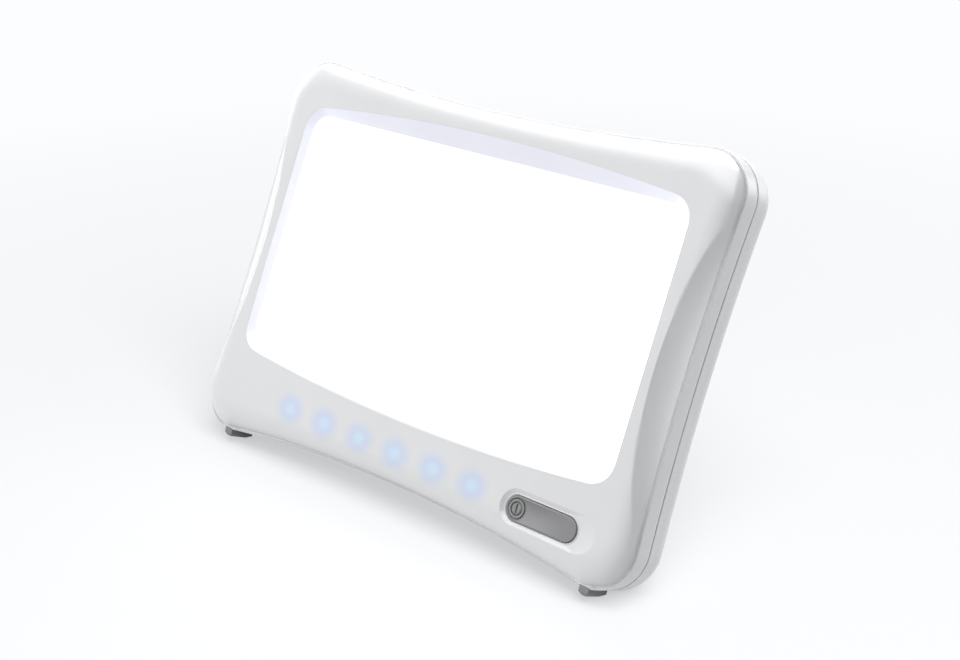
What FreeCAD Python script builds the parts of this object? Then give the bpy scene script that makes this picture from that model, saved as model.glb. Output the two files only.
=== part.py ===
import FreeCAD, Part
import math
import os
from types import SimpleNamespace

import Sketcher

V = FreeCAD.Vector
document = FreeCAD.newDocument("LightTherapyLamp")

# A table-top light therapy lamp that leans back on a fold-out stand. Everything in the head is drawn in the
# head's own axes: x to the right, y up the face and z out of the face, from the middle of the window.
drivingSizes = [
    ("lean", 25.6, "angle that the face leans back from upright"),
    ("case_width", 234.0, "across the corners"),
    ("case_height", 167.0, "across the corners"),
    ("case_depth", 30.0, "face to back"),
    ("corner_radius", 18.0, "of the casing's outline"),
    ("corner_ease", 5.0, "extra roundness of the corners where the pillow meets the face"),
    ("side_pinch", 2.0, "how far each side bows inward at its middle"),
    ("top_pinch", 5.2, "the same for the top edge"),
    ("bottom_pinch", 6.6, "the same for the bottom edge"),
    ("ledge_depth", 5.5, "face to the ledge round the pillow"),
    ("ledge_width", 1.0, "width of that ledge"),
    ("pillow_width", 9.0, "width of the rounded fall from the face to the ledge"),
    ("pillow_settle", 0.5, "share of the pinch that is gone where the fall reaches the face"),
    ("seam_depth", 13.5, "face to the seam between the covers"),
    ("seam_gap", 0.4, "width of the seam"),
    ("rear_round", 11.0, "rounding of the rear edge"),
    ("wall", 2.5, "wall of both covers"),
    ("root_sink", 0.2, "how far posts and ribs run into the wall that they stand on"),
    ("overcut", 1.0, "how far a cutting shape reaches past what it cuts"),
    ("frame_side", 17.0, "casing's corner to the window, at the sides"),
    ("frame_top", 20.3, "the same at the top"),
    ("frame_bottom", 36.9, "the same at the bottom"),
    ("window_bulge", 4.9, "how far the window's long edges bow outward"),
    ("window_corner", 10.0, "radius of the window's corners"),
    ("bevel_side", 2.0, "width of the window's bevel at the sides"),
    ("bevel_end", 3.4, "the same at the top and bottom corners"),
    ("bevel_depth", 3.5, "depth of the bevel"),
    ("ceiling", 4.0, "thickness of the front cover round the window"),
    ("shoulder", 7.0, "depth where the front cover's inner side walls begin"),
    ("shoulder_slope", 5.0, "width of the slope from there to the ceiling"),
    ("scallop_frame", 4.1, "face left between the window and the side scallop"),
    ("scallop_from_top", 15.2, "casing's top to where the scallop's crease leaves its side"),
    ("scallop_from_bottom", 16.3, "casing's bottom to the crease's other end"),
    ("scallop_foot", 0.3, "foot of the pillow to the foot of the scallop"),
    ("lip_clearance", 0.3, "between the rear cover's lip and the front cover"),
    ("lip_thick", 1.2, "thickness of that lip"),
    ("lip_rise", 3.0, "how far the lip reaches past the seam"),
    ("diffuser_thick", 2.0, "light diffuser"),
    ("diffuser_lap", 3.4, "how far the diffuser reaches behind the frame"),
    ("gasket_thick", 1.0, "foam frame behind the diffuser"),
    ("gasket_width", 2.7, "width of its strips"),
    ("tray_depth", 10.0, "depth of the reflector tray"),
    ("tray_taper", 6.0, "how far its walls lean inward"),
    ("tray_wall", 1.2, "thickness of its walls"),
    ("led_board_thick", 1.6, "light source board"),
    ("led_board_tab", 9.5, "how far the board reaches out below the tray"),
    ("led_board_margin", 2.4, "how far it reaches past the tray elsewhere"),
    ("led_columns", 10.0, "light-emitting diodes in a row"),
    ("led_rows", 5.0, "rows of them"),
    ("led_side", 3.5, "side of one diode"),
    ("led_rise", 0.8, "height of one diode"),
    ("spreader_thick", 1.0, "heat spreader"),
    ("post_radius", 3.0, "posts that carry the heat spreader"),
    ("post_inset", 7.8, "side of the casing to the middle of those posts"),
    ("post_rise", 35.0, "height of those posts above and below the window's middle"),
    ("board_level", 11.0, "face to the front of the control board"),
    ("board_thick", 1.6, "control board"),
    ("board_height", 19.0, "height of the control board"),
    ("board_lift", 11.8, "casing's bottom corner to the control board"),
    ("board_post_drop", 4.0, "top of the control board to its screws"),
    ("board_post_left", 17.0, "left end of the control board to its first screw"),
    ("board_post_middle_gap", 9.0, "middle screw to the button"),
    ("board_post_right", 3.4, "last screw to the right end of the board"),
    ("board_margin_left", 6.0, "board past the light guide on the left"),
    ("board_margin_right", 4.4, "board past the button on the right"),
    ("board_post_radius", 2.4, "posts that carry the control board"),
    ("button_length", 33.4, "power button"),
    ("button_width", 9.9, "the same"),
    ("button_from_side", 41.45, "casing's corner to the middle of the button"),
    ("button_lift", 18.05, "casing's bottom corner to the middle of the button"),
    ("button_proud", 0.4, "how far the button stands above the face"),
    ("button_gap", 0.3, "clearance round the button"),
    ("button_flange", 1.2, "width and thickness of the flange behind the cover"),
    ("button_slack", 0.15, "between that flange and the cover"),
    ("button_travel", 0.8, "stroke of the button"),
    ("button_edge", 0.7, "rounding of the button's rim"),
    ("stem_radius", 2.5, "stem of the button"),
    ("scoop_depth", 1.5, "depth of the scoop round the button"),
    ("scoop_margin", 2.4, "width of the scoop"),
    ("scoop_run", 8.0, "its width at the right-hand end"),
    ("scoop_floor", 0.8, "flat floor of the scoop round the button"),
    ("symbol_radius", 3.6, "ring on the button"),
    ("symbol_line", 0.9, "width of its line"),
    ("symbol_rise", 0.3, "height of its line"),
    ("symbol_bar", 3.8, "length of the bar in the ring"),
    ("symbol_inset", 5.4, "end of the button to the ring's middle"),
    ("indicator_count", 6.0, "lights in the indicator row"),
    ("indicator_pitch", 20.5, "distance between them"),
    ("indicator_lift", 19.5, "casing's bottom corner to the row"),
    ("indicator_to_button", 17.55, "last light to the end of the button"),
    ("indicator_radius", 1.5, "one indicator light"),
    ("indicator_rise", 4.5, "its height"),
    ("guide_radius", 3.8, "tubes of the light guide"),
    ("guide_bore", 3.0, "bores of those tubes"),
    ("guide_width", 8.8, "width of the guide's bar"),
    ("guide_end", 6.8, "bar past the outer tubes' middles"),
    ("guide_clearance", 0.3, "round and above the tubes"),
    ("guide_drop", 1.0, "ceiling to the guide's bar"),
    ("skin", 1.2, "cover left in front of the indicator lights"),
    ("switch_side", 6.0, "tactile switch"),
    ("switch_height", 3.4, "height of its body"),
    ("plunger_radius", 1.7, "its plunger"),
    ("plunger_proud", 1.2, "how far the plunger stands out of the body"),
    ("plunger_root", 1.4, "how far it reaches into the body"),
    ("plunger_gap", 0.1, "round and below the plunger"),
    ("jack_from_side", 47.0, "casing's corner to the middle of the power inlet"),
    ("jack_lift", 23.8, "casing's bottom corner to the same"),
    ("jack_width", 9.0, "body of the inlet"),
    ("jack_height", 10.0, "the same"),
    ("jack_collar", 4.4, "radius of its collar"),
    ("jack_bore", 2.8, "radius of its bore"),
    ("jack_bore_depth", 10.0, "depth of its bore"),
    ("jack_pin", 1.0, "radius of its centre pin"),
    ("jack_pin_sunk", 1.5, "mouth of the bore to the pin's tip"),
    ("jack_body_gap", 0.2, "between the inlet's body and the rear cover"),
    ("jack_sunk", 0.6, "back of the casing to the collar"),
    ("jack_gap", 0.3, "round the collar"),
    ("connector_width", 8.0, "plugs at both ends of the light leads"),
    ("connector_height", 4.0, "the same"),
    ("connector_rise", 3.5, "the same"),
    ("connector_x", 20.0, "right of the window's middle"),
    ("connector_margin", 1.0, "edge of either board to its connector"),
    ("lead_radius", 0.6, "light leads"),
    ("lead_spacing", 3.0, "distance between the two leads"),
    ("capacitor_radius", 4.0, "capacitor of the driver"),
    ("capacitor_length", 9.0, "the same"),
    ("capacitor_offset", 16.0, "left of the button's middle"),
    ("coil_side", 10.0, "coil of the driver"),
    ("coil_corner", 2.0, "the same"),
    ("coil_height", 6.0, "the same"),
    ("coil_offset", 9.0, "right of the button's middle"),
    ("chip_side", 7.0, "control chip"),
    ("chip_thick", 1.2, "the same"),
    ("chip_offset", 10.0, "left of the indicators' middle"),
    ("foot_width", 4.4, "rubber foot, across"),
    ("foot_length", 13.0, "rubber foot, front to back"),
    ("foot_setback", 6.0, "face to the front of the foot"),
    ("foot_drop", 3.2, "how far the foot stands below the casing"),
    ("foot_seat", 0.9, "depth of the flat that it sits in"),
    ("foot_seat_gap", 0.3, "clearance round it in that flat"),
    ("foot_taper", 1.2, "chamfer of its lower edges"),
    ("foot_land", 3.0, "length of the flat that stands on the table"),
    ("foot_neck_width", 2.6, "neck through the wall"),
    ("foot_neck_length", 7.0, "the same, front to back"),
    ("foot_grip", 0.5, "wall to the underside of the head inside the casing"),
    ("foot_root_width", 5.0, "that head, across"),
    ("foot_root_length", 10.0, "the same, front to back"),
    ("foot_root_thick", 1.4, "the same"),
    ("foot_play", 0.15, "clearance round the neck and the head"),
    ("stand_width", 82.0, "fold-out stand"),
    ("stand_thick", 5.0, "its thickness"),
    ("stand_hinge_rise", 14.0, "hinge above the window's middle"),
    ("stand_splay", 14.0, "angle of the open stand from upright"),
    ("stand_heel", 4.0, "stand past the hinge"),
    ("stand_side_gap", 1.0, "stand to the side of its recess"),
    ("stand_end_gap", 0.8, "stand to the end of its recess"),
    ("stand_sunk", 0.3, "folded stand to the back of the casing"),
    ("stand_stop_gap", 0.1, "between the heel and its stop"),
    ("stand_corner", 8.0, "radius of the free end's corners"),
    ("stand_grip_length", 27.0, "finger notch in the stand"),
    ("stand_grip_width", 9.0, "the same"),
    ("stand_grip_rise", 12.0, "rubber pad to the middle of the notch"),
    ("rest_rib_width", 2.0, "ribs that the folded stand rests on"),
    ("rest_rib_length", 26.0, "the same"),
    ("rest_rib_spacing", 41.0, "the same"),
    ("rest_rib_from_end", 28.9, "free end of the folded stand to the middle of the ribs"),
    ("recess_wall", 2.0, "walls of the stand's recess"),
    ("pad_width", 60.0, "rubber pad of the stand"),
    ("pad_reach", 4.0, "its height"),
    ("pin_radius", 1.25, "hinge pin"),
    ("pin_grip", 8.0, "pin in each boss"),
    ("pin_press", 0.01, "clearance in the bosses"),
    ("pin_run", 0.05, "clearance in the stand"),
    ("boss_length", 10.0, "hinge bosses"),
    ("boss_height", 12.0, "the same"),
    ("washer_radius", 2.3, "friction washers on the pin"),
    ("washer_thick", 0.7, "the same"),
    ("cover_screw_inset", 12.6, "casing's outline to the cover screws"),
    ("cover_post_radius", 3.5, "posts for the cover screws"),
    ("cover_joint", 16.2, "face to where both covers' posts meet"),
    ("tube_radius", 4.5, "tubes in the rear cover"),
    ("tube_seat", 21.0, "face to the seat of the screw heads"),
    ("head_radius", 2.8, "screw heads"),
    ("head_thick", 2.0, "the same"),
    ("head_gap", 0.3, "round the screw heads"),
    ("shank_radius", 1.25, "screw shanks"),
    ("pilot_gap", 0.05, "round the shanks in their posts"),
    ("shank_gap", 0.45, "round the shanks elsewhere"),
    ("shank_length", 14.0, "cover screws"),
    ("short_shank", 6.0, "board and spreader screws"),
    ("short_head", 1.5, "height of their heads"),
    ("short_head_radius", 2.3, "radius of their heads"),
    ("pilot_depth", 0.4, "holes past the tips of the screws"),
    ("screw_slot_width", 0.8, "slots in all screw heads"),
    ("screw_slot_length", 2.4, "the same"),
    ("screw_slot_depth", 0.8, "the same"),
    ("vent_count", 8.0, "ventilation slots"),
    ("vent_pitch", 6.0, "the same"),
    ("vent_width", 2.2, "the same"),
    ("vent_length", 24.0, "the same"),
    ("vent_gap", 10.0, "stand's recess to the slots"),
]

# Places and sizes that follow from the driving dimensions. Depths run towards negative z.
derivedSizes = [
    ("half_width", "Sizes.case_width / 2"),
    ("window_half_width", "half_width - Sizes.frame_side"),
    ("window_half_height", "(Sizes.case_height - Sizes.frame_top - Sizes.frame_bottom) / 2"),
    ("case_top", "window_half_height + Sizes.frame_top"),
    ("case_bottom", "-window_half_height - Sizes.frame_bottom"),
    ("opening_half_width", "window_half_width - Sizes.bevel_side"),
    ("opening_half_height", "window_half_height - Sizes.bevel_end"),
    ("seam_front", "-Sizes.seam_depth"),
    ("seam_rear", "seam_front - Sizes.seam_gap"),
    ("lip_top", "seam_front + Sizes.lip_rise"),
    ("rear_face", "-Sizes.case_depth"),
    ("rear_floor", "rear_face + Sizes.wall"),
    ("diffuser_half_width", "opening_half_width + Sizes.diffuser_lap"),
    ("diffuser_half_height", "opening_half_height + Sizes.diffuser_lap"),
    ("diffuser_back", "-Sizes.ceiling - Sizes.diffuser_thick"),
    ("gasket_back", "diffuser_back - Sizes.gasket_thick"),
    ("tray_back", "gasket_back - Sizes.tray_depth"),
    ("tray_half_width", "diffuser_half_width - Sizes.tray_taper"),
    ("tray_half_height", "diffuser_half_height - Sizes.tray_taper"),
    ("led_board_half_width", "tray_half_width + Sizes.led_board_margin"),
    ("led_board_top", "tray_half_height + Sizes.led_board_margin"),
    ("led_board_bottom", "-tray_half_height - Sizes.led_board_tab"),
    ("led_board_back", "tray_back - Sizes.led_board_thick"),
    ("spreader_back", "led_board_back - Sizes.spreader_thick"),
    ("post_x", "half_width - Sizes.side_pinch - Sizes.post_inset"),
    ("spreader_half_width", "post_x + Sizes.post_radius"),
    ("board_front", "-Sizes.board_level"),
    ("board_back", "board_front - Sizes.board_thick"),
    ("board_bottom", "case_bottom + Sizes.board_lift"),
    ("board_top", "board_bottom + Sizes.board_height"),
    ("button_x", "half_width - Sizes.button_from_side"),
    ("button_y", "case_bottom + Sizes.button_lift"),
    ("button_radius", "Sizes.button_width / 2"),
    ("button_centres", "Sizes.button_length - Sizes.button_width"),
    ("button_left", "button_x - Sizes.button_length / 2"),
    ("button_right", "button_x + Sizes.button_length / 2"),
    ("flange_front", "-Sizes.ceiling - Sizes.button_slack"),
    ("flange_back", "flange_front - Sizes.button_flange"),
    ("switch_front", "board_front + Sizes.switch_height"),
    ("plunger_front", "switch_front + Sizes.plunger_proud"),
    ("plunger_length", "Sizes.plunger_proud + Sizes.plunger_root"),
    ("plunger_room", "Sizes.plunger_root + Sizes.button_travel + Sizes.plunger_gap"),
    ("indicator_y", "case_bottom + Sizes.indicator_lift"),
    ("indicator_last", "button_left - Sizes.indicator_to_button"),
    ("indicator_first", "indicator_last - (Sizes.indicator_count - 1) * Sizes.indicator_pitch"),
    ("indicator_middle", "(indicator_first + indicator_last) / 2"),
    ("indicator_run", "indicator_last - indicator_first"),
    ("guide_front", "-Sizes.skin - Sizes.guide_clearance"),
    ("guide_bar_front", "-Sizes.ceiling - Sizes.guide_drop"),
    ("board_left", "indicator_first - Sizes.guide_end - Sizes.board_margin_left"),
    ("board_right", "button_right + Sizes.board_margin_right"),
    ("board_post_y", "board_top - Sizes.board_post_drop"),
    ("board_post_first", "board_left + Sizes.board_post_left"),
    ("board_post_middle", "button_left - Sizes.board_post_middle_gap"),
    ("board_post_last", "board_right - Sizes.board_post_right"),
    ("jack_x", "-half_width + Sizes.jack_from_side"),
    ("jack_y", "case_bottom + Sizes.jack_lift"),
    ("jack_end", "rear_face + Sizes.jack_sunk"),
    ("jack_body_end", "rear_floor + Sizes.jack_body_gap"),
    ("connector_y", "led_board_bottom + Sizes.connector_margin + Sizes.connector_height / 2"),
    ("header_y", "board_top - Sizes.connector_margin - Sizes.connector_height / 2"),
    ("lead_level", "board_back - Sizes.connector_rise / 2"),
    ("lead_top", "connector_y - Sizes.connector_height / 2"),
    ("lead_length", "lead_top - header_y - Sizes.connector_height / 2"),
    ("foot_x", "half_width - Sizes.corner_radius"),
    ("foot_seat_y", "case_bottom + Sizes.foot_seat"),
    ("foot_bottom", "case_bottom - Sizes.foot_drop"),
    ("foot_back", "-Sizes.foot_setback - Sizes.foot_length"),
    ("foot_middle", "-Sizes.foot_setback - Sizes.foot_length / 2"),
    ("foot_inside", "case_bottom + Sizes.wall + Sizes.foot_grip"),
    ("floor_cut", "Sizes.foot_land * sin(Sizes.lean) * cos(Sizes.lean)"),
    ("floor_level", "foot_bottom * cos(Sizes.lean) + foot_back * sin(Sizes.lean) + floor_cut"),
    ("hinge_y", "Sizes.stand_hinge_rise"),
    ("hinge_z", "rear_face + Sizes.stand_sunk + Sizes.stand_thick / 2"),
    ("hinge_height", "hinge_y * cos(Sizes.lean) + hinge_z * sin(Sizes.lean) - floor_level"),
    ("stand_length", "hinge_height / cos(Sizes.stand_splay)"),
    ("stand_open", "Sizes.lean + Sizes.stand_splay"),
    ("stand_plate", "Sizes.stand_heel + stand_length - Sizes.pad_reach"),
    ("stop_rise", "Sizes.stand_heel * sin(stand_open) + Sizes.stand_thick / 2 * cos(stand_open)"),
    ("recess_floor", "hinge_z + stop_rise + Sizes.stand_stop_gap"),
    ("recess_half_width", "Sizes.stand_width / 2 + Sizes.stand_side_gap"),
    ("recess_top", "hinge_y + Sizes.stand_heel + Sizes.stand_thick / 4 + Sizes.stand_end_gap"),
    ("recess_wall_front", "recess_floor + Sizes.recess_wall"),
    ("pin_length", "2 * (recess_half_width + Sizes.pin_grip)"),
]


def addSheet(name, rows):
    sheet = document.addObject("Spreadsheet::Sheet", name)
    for number, row in enumerate(rows, 1):
        sheet.set(f"A{number}", row[0])
        sheet.set(f"B{number}", row[1])
        sheet.setAlias(f"B{number}", row[0])
        if len(row) > 2:
            sheet.set(f"C{number}", row[2])
    document.recompute()
    return {row[0]: float(getattr(sheet, row[0])) for row in rows}


values = addSheet("Sizes", [(name, str(value), note) for name, value, note in drivingSizes])
values.update(addSheet("Layout", [(name, "=" + formula) for name, formula in derivedSizes]))
mm = SimpleNamespace(**values)


# ---- wires and solids that the formulas of the outline need -------------------------------------------


def bow(halfLength, pinch, radius):
    """Radius of a side that bends inward by pinch and runs smoothly into both corner circles."""
    return (halfLength**2 + (radius - pinch) ** 2 - radius**2) / (2 * pinch)


def loop(right, top, bottom, radius, pinches, level):
    """Closed outline of four sides and four round corners. A pinch is positive inward, negative outward."""
    across = right - radius
    upper = top - radius
    lower = bottom + radius
    middle = (upper + lower) / 2
    sidePinch, topPinch, bottomPinch = pinches
    places = [(across, lower), (across, upper), (-across, upper), (-across, lower)]
    corners = [V(x, y, level) for x, y in places]
    outward = [V(1, 0, 0), V(0, 1, 0), V(-1, 0, 0), V(0, -1, 0)]
    reach = [right, top, right, -bottom]
    halfLengths = [(upper - lower) / 2, across, (upper - lower) / 2, across]
    amounts = [sidePinch, topPinch, sidePinch, bottomPinch]
    centreLines = [V(0, middle, level), V(0, 0, level), V(0, middle, level), V(0, 0, level)]
    middles = []
    directions = []
    for side in range(4):
        middlePoint = centreLines[side] + outward[side] * (reach[side] - amounts[side])
        middles.append(middlePoint)
        for corner in (corners[side], corners[(side + 1) % 4]):
            if amounts[side]:
                bend = bow(halfLengths[side], amounts[side], radius)
                centre = middlePoint + outward[side] * bend
                directions.append((centre - corner).normalize() * math.copysign(1, bend))
            else:
                directions.append(V(outward[side]))
    edges = []
    for side in range(4):
        corner = corners[side]
        before = directions[(2 * side - 1) % 8]
        after = directions[2 * side]
        start = corner + before * radius
        turn = corner + (before + after).normalize() * radius
        end = corner + after * radius
        edges.append(Part.Arc(start, turn, end).toShape())
        last = corners[(side + 1) % 4] + directions[2 * side + 1] * radius
        if amounts[side]:
            edges.append(Part.Arc(end, middles[side], last).toShape())
        else:
            edges.append(Part.LineSegment(end, last).toShape())
    return Part.Wire(edges)


def outline(inset, level, settle=0.0):
    """The casing's outline, moved inward. settle takes away that share of its inward bows."""
    pinches = [amount * (1 - settle) for amount in (mm.side_pinch, mm.top_pinch, mm.bottom_pinch)]
    return loop(
        mm.half_width - inset - settle * mm.side_pinch,
        mm.case_top - inset - settle * mm.top_pinch,
        mm.case_bottom + inset + settle * mm.bottom_pinch,
        mm.corner_radius - inset + settle * mm.corner_ease,
        pinches,
        level,
    )


def slot(left, right, middle, radius, level):
    """Closed outline with two straight sides and two round ends."""
    first = left + radius
    last = right - radius
    points = [
        V(first, middle - radius, level),
        V(last, middle - radius, level),
        V(last, middle + radius, level),
        V(first, middle + radius, level),
    ]
    return Part.Wire([
        Part.LineSegment(points[0], points[1]).toShape(),
        Part.Arc(points[1], V(right, middle, level), points[2]).toShape(),
        Part.LineSegment(points[2], points[3]).toShape(),
        Part.Arc(points[3], V(left, middle, level), points[0]).toShape(),
    ])


def prism(wire, rise):
    """The space over a flat wire, up to rise above it."""
    return Part.Face(wire).extrude(V(0, 0, rise))


def box(left, right, bottom, top, back, front):
    return Part.makeBox(right - left, top - bottom, front - back, V(left, bottom, back))


def column(x, y, radius, back, front):
    return Part.makeCylinder(radius, front - back, V(x, y, back))


def shapeNode(label, shape):
    """A sub-part whose shape comes from the functions above."""
    node = document.addObject("Part::Feature", label)
    node.Label = label
    node.Shape = shape
    return node


# ---- PartDesign bodies whose sketches and features are bound to the sheets ------------------------------


def newBody(label):
    body = document.addObject("PartDesign::Body", label)
    body.Label = label
    return body


def newSketch(body, name, x, y, z, role="XY_Plane"):
    """An empty sketch on one of the body's own planes, moved by three expressions."""
    sketch = body.newObject("Sketcher::SketchObject", body.Label + "_" + name)
    plane = [feature for feature in body.Origin.OriginFeatures if feature.Role == role][0]
    sketch.AttachmentSupport = (plane, [""])
    sketch.MapMode = "FlatFace"
    for axis, expression in zip("xyz", (x, y, z)):
        sketch.setExpression(f"AttachmentOffset.Base.{axis}", expression)
    return sketch


def bind(sketch, constraint, expression):
    index = sketch.addConstraint(constraint)
    sketch.setExpression(f"Constraints[{index}]", expression)


def addRectangle(sketch, width, height):
    """A rectangle about the sketch's origin."""
    corners = [V(-2, -1, 0), V(2, -1, 0), V(2, 1, 0), V(-2, 1, 0)]
    first = sketch.GeometryCount
    for start, end in zip(corners, corners[1:] + corners[:1]):
        sketch.addGeometry(Part.LineSegment(start, end))
    for side in range(4):
        sketch.addConstraint(Sketcher.Constraint("Coincident", first + side, 2, first + (side + 1) % 4, 1))
    for side, direction in enumerate(("Horizontal", "Vertical", "Horizontal", "Vertical")):
        sketch.addConstraint(Sketcher.Constraint(direction, first + side))
    sketch.addConstraint(Sketcher.Constraint("Symmetric", first, 1, first + 1, 2, -1, 1))
    bind(sketch, Sketcher.Constraint("DistanceX", first, 1, first, 2, 4.0), width)
    bind(sketch, Sketcher.Constraint("DistanceY", first + 1, 1, first + 1, 2, 2.0), height)


def addCircle(sketch, radius, x=None):
    """A circle on the sketch's x axis, at its origin unless x is given."""
    number = sketch.addGeometry(Part.Circle(V(0, 0, 0), V(0, 0, 1), 1))
    bind(sketch, Sketcher.Constraint("Radius", number, 1.0), radius)
    if x is None:
        sketch.addConstraint(Sketcher.Constraint("Coincident", number, 3, -1, 1))
    else:
        sketch.addConstraint(Sketcher.Constraint("PointOnObject", number, 3, -1))
        bind(sketch, Sketcher.Constraint("DistanceX", -1, 1, number, 3, 1.0), x)


def addSlot(sketch, centres, radius):
    """Two straight sides and two round ends about the sketch's origin."""
    number = sketch.addGeometry(Part.LineSegment(V(-2, -1, 0), V(2, -1, 0)))
    quarter = math.pi / 2
    sketch.addGeometry(Part.ArcOfCircle(Part.Circle(V(2, 0, 0), V(0, 0, 1), 1), -quarter, quarter))
    sketch.addGeometry(Part.LineSegment(V(2, 1, 0), V(-2, 1, 0)))
    sketch.addGeometry(Part.ArcOfCircle(Part.Circle(V(-2, 0, 0), V(0, 0, 1), 1), quarter, 3 * quarter))
    for side in range(4):
        sketch.addConstraint(Sketcher.Constraint("Tangent", number + side, 2, number + (side + 1) % 4, 1))
    sketch.addConstraint(Sketcher.Constraint("Symmetric", number + 1, 3, number + 3, 3, -1, 1))
    sketch.addConstraint(Sketcher.Constraint("Equal", number + 1, number + 3))
    sketch.addConstraint(Sketcher.Constraint("Horizontal", number))
    bind(sketch, Sketcher.Constraint("Radius", number + 1, 1.0), radius)
    bind(sketch, Sketcher.Constraint("DistanceX", number + 3, 3, number + 1, 3, 4.0), centres)


def addFeature(body, kind, sketch, length=None, flip=False):
    feature = body.newObject("PartDesign::" + kind, sketch.Label + "_" + kind.lower())
    feature.Profile = sketch
    if length:
        feature.setExpression("Length", length)
        feature.Reversed = flip
    sketch.Visibility = False
    return feature


def plate(label, x, y, back, width, height, thick, corner=None):
    """A flat rectangular body from the level back towards the face, with rounded corners if asked."""
    body = newBody(label)
    sketch = newSketch(body, "outline", x, y, back)
    addRectangle(sketch, width, height)
    pad = addFeature(body, "Pad", sketch, thick)
    if corner:
        document.recompute()
        upright = [
            f"Edge{number}"
            for number, edge in enumerate(pad.Shape.Edges, 1)
            if abs(edge.tangentAt(edge.FirstParameter).z) > 0.99
        ]
        rounding = body.newObject("PartDesign::Fillet", label + "_corners")
        rounding.Base = (pad, upright)
        rounding.setExpression("Radius", corner)
    return body


def rod(label, x, y, back, radius, length):
    """A round body from the level back towards the face."""
    body = newBody(label)
    sketch = newSketch(body, "section", x, y, back)
    addCircle(sketch, radius)
    addFeature(body, "Pad", sketch, length)
    return body


# ---- where the posts, screws and lights stand ----------------------------------------------------------

coverScrewPlaces = [
    (side * (mm.half_width - mm.cover_screw_inset), mm.case_bottom + 2 * mm.cover_screw_inset)
    for side in (-1, 1)
] + [
    (side * (mm.half_width - mm.frame_side), mm.case_top - mm.cover_screw_inset)
    for side in (-1, 1)
] + [(0.0, (mm.case_top - mm.top_pinch + mm.diffuser_half_height) / 2)]
spreaderScrewPlaces = [
    (side * mm.post_x, rise * mm.post_rise)
    for side in (-1, 1)
    for rise in (-1, 1)
]
boardScrewPlaces = [
    (x, mm.board_post_y)
    for x in (mm.board_post_first, mm.board_post_middle, mm.board_post_last)
]
indicatorPlaces = [
    mm.indicator_first + number * mm.indicator_pitch
    for number in range(int(mm.indicator_count))
]


# ---- front cover ---------------------------------------------------------------------------------------


def scallop(side):
    """The slanted hollow in one side of the front cover, from a crease on the face to the ledge."""
    upper = mm.case_top - mm.scallop_from_top
    lower = mm.case_bottom + mm.scallop_from_bottom
    middle = (upper + lower) / 2
    bend = outline(mm.ledge_width + mm.scallop_foot, 0).Edges[1].Curve
    foot = []
    for y in (upper, middle, lower):
        foot.append(V(bend.Center.x - math.sqrt(bend.Radius**2 - (y - bend.Center.y) ** 2), y, 0))
    crease = [
        V(mm.half_width, upper, 0),
        V(mm.window_half_width + mm.scallop_frame, middle, 0),
        V(mm.half_width, lower, 0),
    ]
    outside = mm.half_width + mm.overcut
    wires = []
    for share in (-mm.overcut / mm.ledge_depth, 1.0):
        points = [start + (end - start) * share for start, end in zip(crease, foot)]
        for point in points:
            point.z = -share * mm.ledge_depth
            point.x *= side
        far = [V(side * outside, point.y, point.z) for point in (points[2], points[0])]
        wires.append(Part.Wire([
            Part.Arc(*points).toShape(),
            Part.LineSegment(points[2], far[0]).toShape(),
            Part.LineSegment(far[0], far[1]).toShape(),
            Part.LineSegment(far[1], points[0]).toShape(),
        ]))
    return Part.makeLoft(wires, True, True)


def footRoom(side):
    """The flat seat, the neck and the head's room for one foot."""
    x = side * mm.foot_x
    seat = mm.foot_width / 2 + mm.foot_seat_gap
    neck = mm.foot_neck_width / 2 + mm.foot_play
    root = mm.foot_root_width / 2 + mm.foot_play
    seatLength = mm.foot_length / 2 + mm.foot_seat_gap
    neckLength = mm.foot_neck_length / 2 + mm.foot_play
    rootLength = mm.foot_root_length / 2 + mm.foot_play
    middle = mm.foot_middle
    rootTop = mm.foot_inside + mm.foot_root_thick + mm.foot_play
    below = mm.foot_bottom
    rootBottom = mm.foot_inside - mm.foot_play
    seatRoom = box(x - seat, x + seat, below, mm.foot_seat_y, middle - seatLength, middle + seatLength)
    neckRoom = box(x - neck, x + neck, below, mm.foot_inside, middle - neckLength, middle + neckLength)
    rootRoom = box(x - root, x + root, rootBottom, rootTop, middle - rootLength, middle + rootLength)
    return seatRoom.fuse([neckRoom, rootRoom])


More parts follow.
